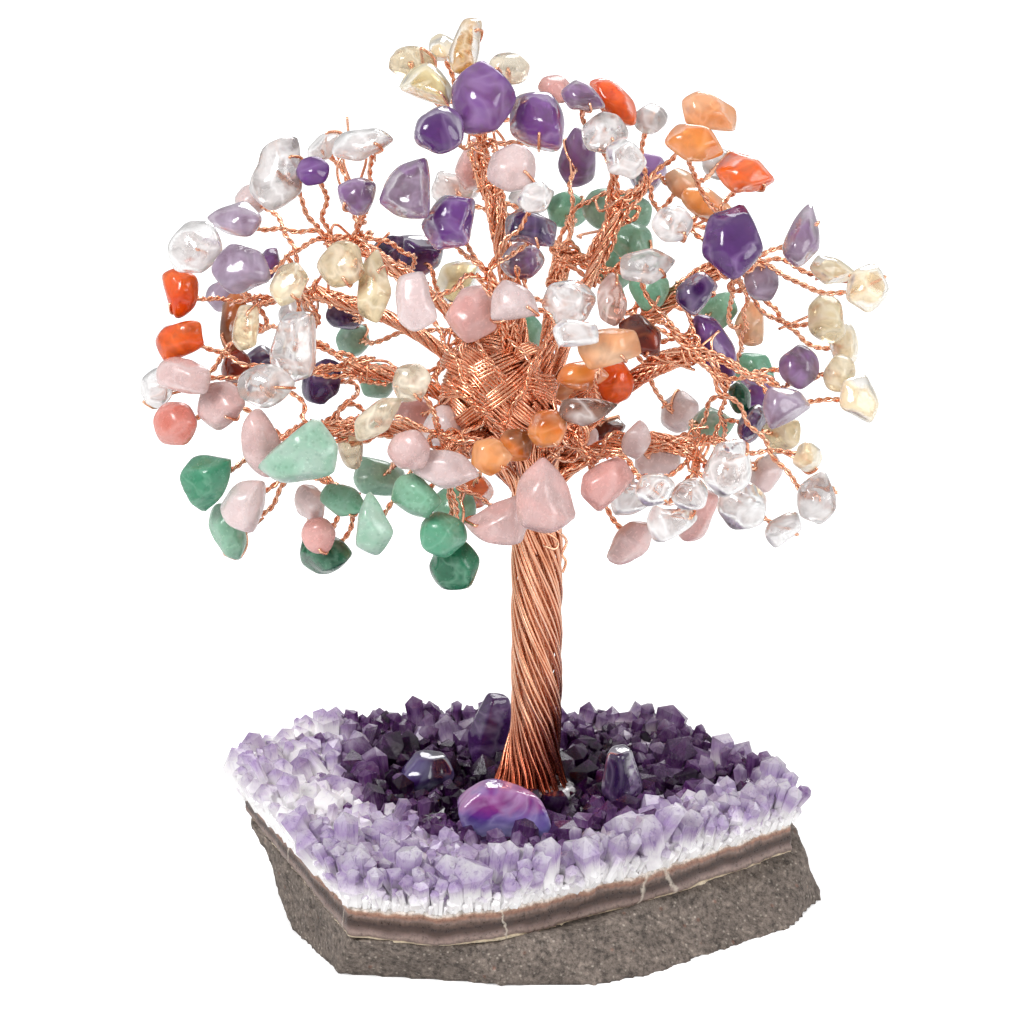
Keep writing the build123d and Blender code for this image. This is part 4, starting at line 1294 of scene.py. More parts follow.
    def lay_loop(self, drawer: WireDrawer, chip: Chip, tip: Array, lead: Array) -> None:
        """Lays the wire that leaves a chip's hole in front and goes over its edge to its pair.

        Args:
            drawer: Takes the wire.
            chip: The chip.
            tip: Where the pair enters the hole behind.
            lead: Where the pair begins behind the chip.
        """
        back = unit(tip - chip.centre)
        front = -back
        over = lead - chip.centre
        over = over - (over @ back) * back
        if over @ over < 0.04:
            over = np.cross(back, (0.9, 0.1, 0.4))
        over = unit(over)
        ways = unit(eased(np.array((front, unit(front + over), over, unit(over + back))), 3))
        skin = chip.centre + ways * (chip.form.reach(ways) + self.pair_radius)[:, None]
        line, _ = spaced(np.vstack((chip.centre + front * 0.4, skin, lead)), self.pair_step * 1.4)
        drawer.add(line, carried(line, np.cross(front, over))[1], self.pair_radius)

    def bind_hub(self, drawer: WireDrawer, limb: Limb, draw: Generator) -> None:
        """Winds wire round the end of a limb and tangles some beyond it, as where pairs are tied in.

        Args:
            drawer: Takes the wires.
            limb: The limb.
            draw: Source of its irregularities.
        """
        axis = unit(limb.line[-1] - limb.line[-4])
        side = limb.side[-1]
        across = np.cross(axis, side)
        turns = draw.uniform(*self.bind_turns)
        marks = np.linspace(0.0, turns * FULL_TURN, int(turns * self.turn_points))
        reach = draw.uniform(*self.bind_reach) + 0.15 * np.sin(marks * 0.7 + draw.uniform(*PHASES))
        rise = draw.uniform(*self.bind_from) + marks * draw.uniform(*self.bind_pitch) + 0.35 * np.sin(marks)
        line = (
            limb.hub + rise[:, None] * axis
            + (reach * np.cos(marks))[:, None] * side + (reach * np.sin(marks))[:, None] * across
        )
        drawer.add(line, np.broadcast_to(axis, line.shape), self.pair_radius)
        for number in range(self.tangles):
            ways = unit(draw.normal(size=(3, 3))) * draw.uniform(*self.tangle_reach, (3, 1))
            corners = limb.hub + axis * draw.uniform(*self.tangle_from) + ways
            line, way = spaced(eased(np.vstack((limb.hub, corners)), 4), self.pair_step)
            if number % 2:
                self.lay_pair(drawer, line, way, 0.0, number, draw)
            else:
                drawer.add(line, carried(line, side)[1], self.pair_radius)


@dataclass
class Crotch:
    """The ball of windings where the trunk opens, with twisted pairs laid up and down over it."""

    middle: Point = (-0.09, -0.16, 2.5)
    half_across: float = 8.2
    half_up: float = 8.4
    half_deep: float = 6.6
    bundles: int = 30
    bundle_wires: int = 5
    row_gap: float = 1.9
    level_most: float = 0.96
    lean: Span = (-0.6, 0.2)
    counter_lean: Span = (0.5, 0.2)
    lean_share: float = 0.72
    heights: Span = (-0.72, 0.72)
    swells: Span = (0.74, 1.12)
    slope: float = 0.2
    bulges: Span = (0.04, 0.12)
    turns: Span = (0.7, 1.1)
    turn_spread: Span = (0.9, 1.1)
    turn_points: int = 90
    wire_radius: float = 0.27
    pairs: tuple[tuple[float, float, float, float], ...] = (
        (-0.26, 0.03, -0.1, -0.27), (-0.2, 0.05, -0.02, -0.22), (-0.12, 0.06, 0.04, -0.16),
        (0.06, 0.02, -0.08, -0.28), (-0.22, -0.14, -0.03, -0.3),
    )
    strays: tuple[tuple[Point, ...], ...] = (
        (
            (0.03, -0.5, 4.2), (0.075, -0.53, 3.4), (0.092, -0.55, 3.2), (0.08, -0.572, 3.4),
            (0.074, -0.585, 3.5), (0.09, -0.6, 3.2), (0.078, -0.63, 3.3),
        ),
        (
            (-0.04, -0.5, 5.2), (0.02, -0.52, 5.0), (0.07, -0.545, 3.6), (0.062, -0.575, 3.8),
            (0.03, -0.56, 4.6),
        ), ((-0.46, 0.36, 4.0), (-0.49, 0.43, 4.2), (-0.47, 0.48, 4.2), (-0.475, 0.54, 4.2)),
        (
            (-0.45, 0.3, 4.0), (-0.5, 0.37, 4.6), (-0.5, 0.43, 4.8), (-0.45, 0.46, 4.8), (-0.42, 0.44, 4.4),
            (-0.44, 0.38, 4.0),
        ), ((-0.33, 0.3, 5.0), (-0.36, 0.4, 5.2), (-0.3, 0.42, 5.4), (-0.26, 0.4, 5.0), (-0.28, 0.36, 4.6)),
    )
    seed: int = 310

    def build(self, finish: CopperFinish) -> None:
        """Winds the ball and lays the pairs.

        Args:
            finish: The wire's finish.
        """
        draw = default_rng(self.seed)
        drawer = WireDrawer(6)
        centre = crown_point(*self.middle)
        for _ in range(self.bundles):
            height = draw.uniform(*self.heights)
            swell = draw.uniform(*self.swells)
            slope, phase = draw.normal() * self.slope, draw.uniform(0.0, FULL_TURN)
            bulge, at = draw.uniform(*self.bulges), draw.uniform(*PHASES)
            lean = draw.normal(*(self.lean if draw.uniform() < self.lean_share else self.counter_lean))
            sideways = math.cos(lean) * RIGHT + math.sin(lean) * UPRIGHT
            upward = math.cos(lean) * UPRIGHT - math.sin(lean) * RIGHT
            turns = FULL_TURN * draw.uniform(*self.turns)
            for row in range(self.bundle_wires):
                place = (row - self.bundle_wires / 2.0) * self.row_gap
                level = height + place * self.wire_radius / self.half_up
                if abs(level) > self.level_most:
                    continue
                girth = math.sqrt(1.0 - level**2) * swell
                marks = np.linspace(0.0, turns * draw.uniform(*self.turn_spread), self.turn_points) + phase
                wave = 0.012 * np.sin(marks * 3.0 + row) + 0.06 * np.sin(marks * 2.0 + phase)
                rise = level + slope * np.sin(marks + phase) + wave
                girth = girth * (1.0 + bulge * np.sin(marks * 2.0 + at))
                line = (
                    centre
                    + (self.half_across * girth * np.cos(marks))[:, None] * sideways
                    + (self.half_up * rise)[:, None] * upward
                    + (self.half_deep * girth * np.sin(marks))[:, None] * TO_VIEWER
                )
                drawer.add(line, carried(line, UPRIGHT)[1], self.wire_radius)
        tree = CopperTree()
        for number, (left, high, right, low) in enumerate(self.pairs):
            shares = np.linspace(0.0, 1.0, 6)
            across, up = left + (right - left) * shares, high + (low - high) * shares
            bulge = self.half_deep * (0.75 + 0.45 * np.sin(math.pi * shares)) + 1.2
            corners = np.array([crown_point(*row) for row in zip(across, up, bulge + self.middle[2] - 1.0)])
            line, way = spaced(eased(corners, 3), tree.pair_step)
            tree.lay_pair(drawer, line, way, 0.0, float(number), draw)
        for corners in self.strays:
            line, _ = spaced(eased(np.array([crown_point(*row) for row in corners]), 3), tree.pair_step)
            drawer.add(line, carried(line, TO_VIEWER)[1], tree.pair_radius)
        drawer.piece("crotch_windings", finish)


@dataclass(frozen=True)
class BasaltFinish(Finish):
    """Broken basalt: dull grey brown, speckled with pale feldspar and rusty dots."""

    name: str = "broken_basalt"
    slot: str = "basalt"
    stops: Stops = ((0.3, "4A433E"), (0.45, "675D56"), (0.58, "756A62"), (0.75, "8F847B"))
    patch_mm: float = 7.0
    speck_mm: float = 1.0
    speck_colour: str = "A99F94"
    rust_colour: str = "80594B"
    grit_mm: float = 0.9
    roughness: float = 0.88

    def shade(self, add: AddNode) -> Node:
        """Draws the rock's shader.

        Args:
            add: Adds a node to its tree.

        Returns:
            The shader.
        """
        patch = add(
            "TexNoise", {"Scale": 1.0 / self.patch_mm, "Detail": 10.0, "Roughness": 0.82},
            {"Vector": "grain"},
        )
        body = add("ValToRGB", {"stops": self.stops}, {"Fac": patch})
        for colour, size, share, edge in (
            (self.speck_colour, self.speck_mm, 0.6, 0.26),
            (self.rust_colour, self.speck_mm * 3.1, 0.6, 0.14),
        ):
            cells = add("TexVoronoi", {"Scale": 1.0 / size}, {"Vector": "grain"})
            dot = add("MapRange", {"From": (edge * 0.4, edge), "To": (share, 0.0)}, {"Value": cells})
            body = add("Mix", {**BLEND, 7: linear(colour)}, {0: dot, 6: body})
        grit = add(
            "TexNoise", {"Scale": 1.0 / self.grit_mm, "Detail": 6.0, "Roughness": 0.75}, {"Vector": "grain"},
        )
        shade = add("MapRange", {"From": (0.36, 0.64), "To": (0.38, 1.78)}, {"Value": grit})
        body = add("Mix", {**DARKEN, 0: 1.0}, {6: body, 7: shade})
        bump = add("Bump", {"Strength": 0.7, "Distance": 0.3 * METRES_PER_MM}, {"Height": grit})
        return add(
            "BsdfPrincipled", {"Roughness": self.roughness, "IOR": 1.5},
            {"Base Color": body, "Normal": bump},
        )


@dataclass(frozen=True)
class BandFinish(Finish):
    """Banded agate in a broken face: brown and mauve layers, cream contact lines, pale cracks."""

    name: str = "banded_agate_layer"
    slot: str = "banded_agate"
    stops: Stops = (
        (0.0, "DCCDB2"), (0.07, "CDBA9C"), (0.1, "6F5B53"), (0.2, "8E7A72"), (0.3, "75605A"),
        (0.4, "4A3730"), (0.52, "38251F"), (0.62, "57433A"), (0.7, "7E685F"), (0.78, "8C6351"),
        (0.85, "A68470"), (0.9, "DACEC4"), (1.0, "F2EEEA"),
    )
    wander_mm: float = 5.0
    crack_mm: float = 26.0
    roughness: float = 0.34

    def shade(self, add: AddNode) -> Node:
        """Draws the band's shader.

        Args:
            add: Adds a node to its tree.

        Returns:
            The shader.
        """
        wander = add(
            "TexNoise", {"Scale": 1.0 / self.wander_mm, "Detail": 6.0, "Roughness": 0.6}, {"Vector": "grain"},
        )
        shift = add("Math", {"operation": "MULTIPLY_ADD", 1: 0.4, 2: -0.2}, {0: wander})
        level = add("Math", SUM, {0: "rise", 1: shift})
        layers = add("ValToRGB", {"stops": self.stops}, {"Fac": level})
        bent = add(
            "VectorMath", {"operation": "MULTIPLY_ADD", 1: (4.0, 4.0, 4.0)},
            {0: wander.outputs["Color"], 2: "grain"},
        )
        steep = add("Mapping", {"Scale": (1.0, 1.0, 0.3)}, {"Vector": bent})
        crack = add(
            "TexVoronoi", {"feature": "DISTANCE_TO_EDGE", "Scale": 1.0 / self.crack_mm}, {"Vector": steep},
        )
        line = add("MapRange", {"From": (0.002, 0.009), "To": (0.6, 0.0)}, {"Value": crack})
        mixed = add("Mix", {**BLEND, 7: linear("D8CCBC")}, {0: line, 6: layers})
        fine = add("TexNoise", {"Scale": 1.6, "Detail": 6.0, "Roughness": 0.65}, {"Vector": "grain"})
        shade = add("MapRange", {"From": (0.35, 0.65), "To": (0.7, 1.3)}, {"Value": fine})
        mottled = add("Mix", {**DARKEN, 0: 1.0}, {6: mixed, 7: shade})
        bump = add("Bump", {"Strength": 0.5, "Distance": 0.3 * METRES_PER_MM}, {"Height": fine})
        rough = add(
            "MapRange", {"From": (0.35, 0.65), "To": (self.roughness * 0.7, self.roughness * 1.7)},
            {"Value": fine},
        )
        return add(
            "BsdfPrincipled", {"IOR": 1.54}, {"Base Color": mottled, "Normal": bump, "Roughness": rough},
        )


@dataclass(frozen=True)
class DruseFinish(Finish):
    """Natural amethyst points: milky white roots, violet bodies, greyish clear tips, deep in the basin."""

    name: str = "amethyst_druse"
    slot: str = "amethyst_druse"
    pale_stops: Stops = (
        (0.0, "FEFDFD"), (0.34, "FBF8FA"), (0.5, "ECE0F2"), (0.66, "CBB2E0"), (0.84, "DFD4E8"),
        (1.0, "F4F0F6"),
    )
    deep_stops: Stops = (
        (0.0, "481E4E"), (0.3, "320A3C"), (0.6, "1A0320"), (0.85, "2A0732"), (1.0, "52245C"),
    )
    violet_stops: Stops = (
        (0.0, "A48AB0"), (0.35, "8A5C98"), (0.65, "683478"), (0.85, "784C88"), (1.0, "A48CB0"),
    )
    cloud_mm: float = 1.8
    patch_mm: float = 7.0
    streak_mm: float = 0.7
    flaw_colour: str = "8A5CAE"
    roughness: float = 0.08
    gloss: float = 0.22
    transmission: float = 0.4

    def shade(self, add: AddNode) -> Node:
        """Draws the crystals' shader.

        Args:
            add: Adds a node to its tree.

        Returns:
            The shader.
        """
        cloud = add(
            "TexNoise", {"Scale": 1.0 / self.cloud_mm, "Detail": 5.0, "Roughness": 0.6}, {"Vector": "grain"},
        )
        shift = add("Math", {"operation": "MULTIPLY_ADD", 1: 0.5, 2: -0.25}, {0: cloud})
        level = add("Math", SUM, {0: "rise", 1: shift})
        patch = add(
            "TexNoise", {"Scale": 1.0 / self.patch_mm, "Detail": 3.0, "Roughness": 0.55},
            {"Vector": "place"},
        )
        patched = add("Math", {"operation": "MULTIPLY_ADD", 1: 0.9, 2: -0.45}, {0: patch})
        depth = add("Math", SUM, {0: "tone", 1: patched})
        pale, violet, deep = (
            add("ValToRGB", {"stops": stops}, {"Fac": level})
            for stops in (self.pale_stops, self.violet_stops, self.deep_stops)
        )
        tinged = add("MapRange", {"From": (0.12, 0.5)}, {"Value": depth})
        sunk = add("MapRange", {"From": (0.45, 0.85)}, {"Value": depth})
        middle = add("Mix", BLEND, {0: tinged, 6: pale, 7: violet})
        body = add("Mix", BLEND, {0: sunk, 6: middle, 7: deep})
        long_grain = add("Mapping", {"Scale": (1.0, 1.0, 0.2)}, {"Vector": "grain"})
        streak = add(
            "TexNoise",
            {"Scale": 1.0 / self.streak_mm, "Detail": 6.0, "Roughness": 0.74, "Distortion": 0.5},
            {"Vector": long_grain},
        )
        milk = add("MapRange", {"From": (0.5, 0.66), "To": (0.0, 0.62)}, {"Value": streak})
        root = add("MapRange", {"From": (0.1, 0.6), "To": (1.0, 0.25)}, {"Value": "rise"})
        shallow = add("MapRange", {"To": (1.0, 0.1)}, {"Value": depth})
        milky_root = add("Math", TIMES, {0: milk, 1: root})
        veil = add("Math", TIMES, {0: milky_root, 1: shallow})
        flaw = add("MapRange", {"From": (0.34, 0.48), "To": (0.55, 0.0)}, {"Value": streak})
        inside = add("MapRange", {"From": (0.2, 0.5)}, {"Value": "rise"})
        dark = add("Math", TIMES, {0: flaw, 1: inside})
        flawed = add("Mix", {**DARKEN, 7: linear(self.flaw_colour)}, {0: dark, 6: body})
        mixed = add("Mix", {**BLEND, 7: linear("FAF8F8")}, {0: veil, 6: flawed})
        clear = add("MapRange", {"From": (0.15, 0.6), "To": (0.0, self.transmission)}, {"Value": "rise"})
        rough = add(
            "MapRange", {"From": (0.3, 0.7), "To": (self.roughness * 0.5, self.roughness * 2.2)},
            {"Value": streak},
        )
        bump = add("Bump", {"Strength": 0.25, "Distance": 0.15 * METRES_PER_MM}, {"Height": streak})
        return add(
            "BsdfPrincipled", {"IOR": 1.544, "Specular IOR Level": self.gloss},
            {"Base Color": mixed, "Transmission Weight": clear, "Roughness": rough, "Normal": bump},
        )


def evenly_meshed(node: Object, voxel_mm: float) -> tuple[Array, Array, list]:
    """Covers a CAD node's skin with even small faces.

    Args:
        node: The CAD node.
        voxel_mm: Size of the faces.

    Returns:
        Corner places and corner normals in millimetres, and the faces.
    """
    places, faces = welded(node)
    mesh = bpy.data.meshes.new("draft")
    mesh.from_pydata(places.tolist(), [], faces.tolist())
    draft = placed("draft", mesh)
    even = draft.modifiers.new("even", "REMESH")
    even.mode = "VOXEL"
    even.voxel_size = voxel_mm
    shaped = bpy.data.meshes.new_from_object(draft.evaluated_get(bpy.context.evaluated_depsgraph_get()))
    count = len(shaped.vertices)
    spots, normals = np.empty(count * 3), np.empty(count * 3)
    shaped.vertices.foreach_get("co", spots)
    shaped.vertices.foreach_get("normal", normals)
    polygons = [list(polygon.vertices) for polygon in shaped.polygons]
    bpy.data.objects.remove(draft)
    bpy.data.meshes.remove(mesh)
    bpy.data.meshes.remove(shaped)
    return spots.reshape(-1, 3), normals.reshape(-1, 3), polygons


def bumps_of(places: Array, rows: tuple[Bumps, ...]) -> Array:
    """Natural bumps at each place.

    Args:
        places: Places in millimetres.
        rows: Depth, size, how many times finer bumps are added, and a shift that makes surfaces differ.

    Returns:
        Heights in millimetres.
    """
    heights = np.zeros(len(places))
    for depth, size, octaves, offset in rows:
        spots = (places / size + offset).tolist()
        heights += depth * np.array([noise.fractal(Vector(spot), 0.9, 2.1, octaves) for spot in spots])
    return heights


# Planes in the rock: height at the middle, then the slopes to the right and to the back
BAND_FLOOR = (11.6, -0.032, 0.13)
BAND_TOP = (15.4, -0.02, 0.07)
BED_TOP = (17.6, -0.01, 0.03)


def height_of(plane: Point, places: Array) -> Array:
    """The height of one of the rock's planes at each place."""
    return plane[0] + places[:, :2] @ np.array(plane[1:])


@dataclass
class Rock:
    """The rock under the tree: basalt and its agate band; the quartz bed is made with the druse."""

    basalt_voxel: float = 0.75
    basalt_bumps: tuple[Bumps, ...] = ((0.55, 11.0, 3, 3.1), (0.3, 2.6, 4, 8.7))
    ledges: tuple[Bumps, ...] = ((2.0, 16.0, 2, 21.0),)
    ledge_height: float = 0.35
    band_voxel: float = 0.55
    layer_bumps: tuple[Bumps, ...] = ((0.22, 3.2, 4, 5.3),)
    layer_squeeze: float = 3.2
    band_bumps: tuple[Bumps, ...] = ((0.5, 13.0, 2, 1.9),)
    basalt: BasaltFinish = field(default_factory=BasaltFinish)
    band: BandFinish = field(default_factory=BandFinish)

    def band_share(self, places: Array) -> Array:
        """How far up the band each place is, from 0 at the basalt to 1 at the quartz."""
        low, high = height_of(BAND_FLOOR, places), height_of(BAND_TOP, places)
        return (places[:, 2] - low) / (high - low)

    def build(self, nodes: Nodes) -> None:
        """Builds the basalt and the band.

        Args:
            nodes: The CAD nodes by name.
        """
        self.build_basalt(nodes["basalt_matrix"])
        self.build_band(nodes["agate_band"])

    def build_basalt(self, node: Object) -> None:
        """Roughens the basalt's broken faces and keeps its underside flat.

        Args:
            node: The CAD node.
        """
        places, normals, faces = evenly_meshed(node, self.basalt_voxel)
        under = normals[:, 2] < -0.8
        ledge = np.round(bumps_of(places, self.ledges)) * self.ledge_height
        swing = bumps_of(places, self.basalt_bumps) + ledge
        moved = places + normals * np.where(under, 0.0, swing)[:, None]
        moved[:, 2] = np.maximum(moved[:, 2], 0.0)
        piece = make_piece("broken_basalt_rock", moved, [faces], self.basalt, {"grain": places})
        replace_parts(piece, "basalt_matrix")

    def build_band(self, node: Object) -> None:
        """Gives the band's broken edge its fine steps.

        Args:
            node: The CAD node.
        """
        places, normals, faces = evenly_meshed(node, self.band_voxel)
        share = self.band_share(places)
        squeezed = places * np.array((1.0, 1.0, self.layer_squeeze))
        swing = bumps_of(squeezed, self.layer_bumps) + bumps_of(places, self.band_bumps)
        side_share = np.clip(1.0 - np.abs(normals[:, 2]) * 1.2, 0.15, 1.0)
        moved = places + normals * (swing * side_share)[:, None]
        piece = make_piece("banded_agate_edge", moved, [faces], self.band, {"grain": places, "rise": share})
        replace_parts(piece, "agate_band")


def outline_of(points: Array) -> Array:
    """The convex outline round flat points, counted anticlockwise.

    Args:
        points: Places across and back.

    Returns:
        The outline's corners.
    """
    order = sorted(set(map(tuple, np.round(points, 3).tolist())))
    halves = []
    for run in (order, order[::-1]):
        chain: list[tuple[float, float]] = []
        for x, y in run:
            while len(chain) > 1 and (
                (chain[-1][0] - chain[-2][0]) * (y - chain[-2][1])
                - (chain[-1][1] - chain[-2][1]) * (x - chain[-2][0])
            ) <= 0:
                chain.pop()
            chain.append((x, y))
        halves += chain[:-1]
    return np.array(halves)


class Outline:
    """A convex outline with its distance and outward direction for any point inside."""

    def __init__(self, points: Array) -> None:
        """Takes the outline of flat points.

        Args:
            points: Places across and back.
        """
        self.corners = outline_of(points)
        ahead = np.roll(self.corners, -1, axis=0)
        run = ahead - self.corners
        self.lengths = np.linalg.norm(run, axis=1)
        self.outward = np.column_stack((run[:, 1], -run[:, 0])) / self.lengths[:, None]
        self.levels = np.einsum("ij,ij->i", self.outward, self.corners)

    def inset(self, points: Array) -> tuple[Array, Array]:
        """How far inside the outline points are, and which way its nearest edge faces.

        Args:
            points: Flat points.

        Returns:
            Each point's distance from its nearest edge, and that edge's outward direction.
        """
        gaps = self.levels - points @ self.outward.T
        nearest = gaps.argmin(axis=1)
        return gaps.min(axis=1), self.outward[nearest]

    def along(self, step: float) -> tuple[Array, Array]:
        """Points along the outline at about the step, with their outward directions.

        Args:
            step: Wanted distance between points.

        Returns:
            The points and their outward directions.
        """
        spots, ways = [], []
        for corner, ahead, way, length in zip(
            self.corners, np.roll(self.corners, -1, axis=0), self.outward, self.lengths
        ):
            count = max(1, int(length / step))
            marks = (np.arange(count) + 0.5)[:, None] / count
            spots.append(corner + (ahead - corner) * marks)
            ways.append(np.repeat(way[None, :], count, axis=0))
        return np.vstack(spots), np.vstack(ways)


# A crystal of the druse: its sides, and the corners of both its rings and its tip
CRYSTAL_SIDES = 6
CRYSTAL_CORNERS = 13


@dataclass
class Druse:
    """The crust of amethyst points on the quartz bed, with white columnar roots round its edge."""

    rim_width: float = 7.0
    radius_least: float = 0.95
    radius_most: float = 3.3
    nearness: float = 0.6
    tries: int = 20000
    edge_clear: float = 0.2
    seat_clear: float = 0.4
    trunk_aside: float = 0.9
    trunk_clear: float = 6.3
    basin_front: tuple[tuple[float, float], ...] = (
        (-45.0, 4.0), (-30.0, -3.0), (-21.0, -13.0), (-10.0, -22.0), (0.0, -24.0), (9.0, -19.0),
        (16.0, -8.0), (26.0, 0.0), (36.0, 3.0), (46.0, 7.0),
    )
    basin_sides: Span = (-31.0, 40.0)
    basin_edge: float = 7.0
    frost_from: float = 29.0
    tone_least: float = 0.04
    tone_behind: float = 0.35
    tone_core: float = 0.65
    core_middle: float = 2.0
    core_spans: Span = (30.0, 20.0)
    tone_spread: float = 0.16
    tilts: Span = (0.14, 0.3)
    sinks: Span = (2.2, 1.1)
    rim_lean: float = 0.5
    length_stray: float = 0.17
    rim_length: float = 6.9
    basin_length: float = 3.7
    usual_radius: float = 1.6
    bed_voxel: float = 0.7
    bed_bumps: tuple[Bumps, ...] = ((0.5, 1.9, 3, 4.4),)
    power: float = 2.2
    frost_run: float = 9.0
    white_height: float = 8.0
    turn_stray: float = 0.16
    reach_stray: Span = (0.82, 1.12)
    tip_shares: Span = (0.4, 1.05)
    tip_stray: float = 0.22
    taper: float = 0.86
    rise_stray: float = 0.14
    column_gap: float = 1.35
    column_shift: float = 0.4
    columns: tuple[tuple[float, float, float, float, float], ...] = (
        (0.1, 0.2, 0.55, 2.2, 0.5), (0.5, 0.7, 0.5, 3.2, 0.85), (1.3, 1.0, 0.42, 4.8, 1.25),
        (2.8, 1.4, 0.26, 6.4, 1.6),
    )
    seed: int = 905
    finish: DruseFinish = field(default_factory=DruseFinish)
    rows: dict[str, list[Array]] = field(default_factory=lambda: defaultdict(list))

    def tone_at(self, spots: Array) -> Array:
        """How deep the violet is: nearly black in the basin, pale on the front and left rims.

        Args:
            spots: Flat places in millimetres.

        Returns:
            The tone there, from 0, pale, to about 1.
        """
        across, back = spots[:, 0], spots[:, 1]
        marks = np.array(self.basin_front)
        past = back - np.interp(across, marks[:, 0], marks[:, 1])
        behind = clipped(past / self.basin_edge + 0.5)
        left = clipped((across - self.basin_sides[0]) / self.basin_edge + 0.5)
        right = clipped((self.basin_sides[1] - across) / self.basin_edge + 0.5)
        wide, deep = self.core_spans
        core = np.exp(-((across / wide) ** 2) - ((back - self.core_middle) / deep) ** 2)
        return self.tone_least + behind * left * right * (self.tone_behind + self.tone_core * core)

    def build(self, nodes: Nodes) -> None:
        """Grows the crystals over the bed and round its edge.

        Args:
            nodes: The CAD nodes by name.
        """
        draw = default_rng(self.seed)
        places, _ = welded(nodes["quartz_bed"])
        top = places[places[:, 2] > height_of(BED_TOP, places) - 0.3]
        outline = Outline(top[:, :2])
        seats = [
            Outline(welded(node)[0][:, :2]) for name, node in nodes.items() if name.startswith("foot_stone")
        ]
        self.grow_field(draw, outline, seats)
        self.grow_edge(draw, outline)
        self.make_crystals(draw)
        self.make_bed(nodes["quartz_bed"])

    def grow_field(self, draw: Generator, outline: Outline, seats: list[Outline]) -> None:
        """Scatters points over the bed: tall and leaning out at the rim, short in the basin.

        Args:
            draw: Source of its irregularities.
            outline: The bed's outline.
            seats: Outlines of the foot stones, which stay free.
        """
        low, high = outline.corners.min(axis=0), outline.corners.max(axis=0)
        trial = draw.uniform(low, high, (self.tries, 2))
        inset, _ = outline.inset(trial)
        from_trunk = np.hypot(trial[:, 0] + self.trunk_aside, trial[:, 1])
        free = (inset > self.edge_clear) & (from_trunk > self.trunk_clear)
        for seat in seats:
            free &= seat.inset(trial)[0] < -self.seat_clear
        trial = trial[free]
        shares = draw.uniform(size=len(trial)) ** self.power
        size = self.radius_least + (self.radius_most - self.radius_least) * shares
        kept, radius = np.empty((0, 2)), np.empty(0)
        for spot, reach in zip(trial, size):
            gaps = np.sqrt(((kept - spot) ** 2).sum(axis=1)) - self.nearness * (radius + reach)
            if not len(kept) or gaps.min() > 0.0:
                kept, radius = np.vstack((kept, spot)), np.append(radius, reach)
        inset, outward = outline.inset(kept)
        count = len(kept)
        inner = clipped(inset / self.rim_width)
        tilt = draw.normal(size=(count, 2)) * (self.tilts[0] + self.tilts[1] * inner)[:, None]
        lean = outward * (self.rim_lean * (1.0 - inner) ** 1.5)[:, None] + tilt
        behind = clipped((kept[:, 1] - 5.0) / 15.0)
        rim_length = self.rim_length * (1.0 - 0.42 * behind) * (1.0 - inner) ** 0.8
        length = (rim_length + self.basin_length * inner) * (radius / self.usual_radius) ** 0.5
        length *= np.exp(draw.normal(size=count) * self.length_stray)
        sink = self.sinks[0] * (1.0 - inner) + self.sinks[1] * inner
        tone = self.tone_at(kept) + draw.normal(size=count) * self.tone_spread
        self.keep(
            base=np.column_stack((kept, height_of(BED_TOP, kept) - sink)),
            way=unit(np.column_stack((lean, np.ones(count)))), length=length, radius=radius,
            tone=clipped(tone), root=-0.3 + 0.65 * inner,
        )

    def grow_edge(self, draw: Generator, outline: Outline) -> None:
        """Stands columns side by side on the band's upper edge.

        Args:
            draw: Source of its irregularities.
            outline: The bed's outline.
        """
        for row, (inset, lift, lean, length, radius) in enumerate(self.columns):
            spots, outward = outline.along(radius * self.column_gap)
            count = len(spots)
            spots = spots + draw.normal(size=(count, 2)) * self.column_shift * radius - outward * inset
            ways = outward * lean + draw.normal(size=(count, 2)) * 0.17
            behind = clipped(spots[:, 1] / 18.0)
            lengths = length * (1.0 - 0.5 * behind) * np.exp(draw.normal(size=count) * 0.24)
            radii = radius * np.exp(draw.normal(size=count) * 0.28)
            tone = self.tone_at(spots) - 0.06 + draw.normal(size=count) * 0.08
            self.keep(
                base=np.column_stack((spots, height_of(BAND_TOP, spots) - 0.3 + lift)),
                way=unit(np.column_stack((ways, np.ones(count)))), length=lengths, radius=radii,
                tone=clipped(tone), root=np.full(count, -0.3 + 0.12 * row),
            )

    def keep(self, **values: Array) -> None:
        """Keeps the values of some crystals by name, one row for each crystal."""
        for key, rows in values.items():
            self.rows[key].append(rows)

    def make_crystals(self, draw: Generator) -> None:
        """Turns the rows into six-sided points with uneven tips.

        Args:
            draw: Source of its irregularities.
        """
        keys = ("base", "way", "length", "radius", "tone", "root")
        base, way, length, radius, tone, root = (np.concatenate(self.rows[key]) for key in keys)
        count = len(base)
        side = unit(np.cross(way, draw.normal(size=(count, 3))))
        across = np.cross(way, side)
        turns = np.arange(CRYSTAL_SIDES) * FULL_TURN / CRYSTAL_SIDES
        turns = turns + draw.uniform(-self.turn_stray, self.turn_stray, (count, CRYSTAL_SIDES))
        reach = radius[:, None] * draw.uniform(*self.reach_stray, (count, CRYSTAL_SIDES))
        ring = (
            (reach * np.cos(turns))[..., None] * side[:, None, :]
            + (reach * np.sin(turns))[..., None] * across[:, None, :]
        )
        shoulder = length[:, None] - radius[:, None] * draw.uniform(*self.tip_shares, (count, CRYSTAL_SIDES))
        shoulder = np.maximum(shoulder, 0.25 * length[:, None])
        low = base[:, None, :] + ring * self.taper
        high = base[:, None, :] + ring + shoulder[..., None] * way[:, None, :]
        shift = draw.normal(size=(count, 2)) * self.tip_stray * radius[:, None]
        apex = base + way * length[:, None] + shift[:, :1] * side + shift[:, 1:] * across
        places = np.concatenate((low, high, apex[:, None, :]), axis=1).reshape(-1, 3)
        first = (np.arange(count) * CRYSTAL_CORNERS)[:, None]
        ring_numbers = np.arange(CRYSTAL_SIDES)
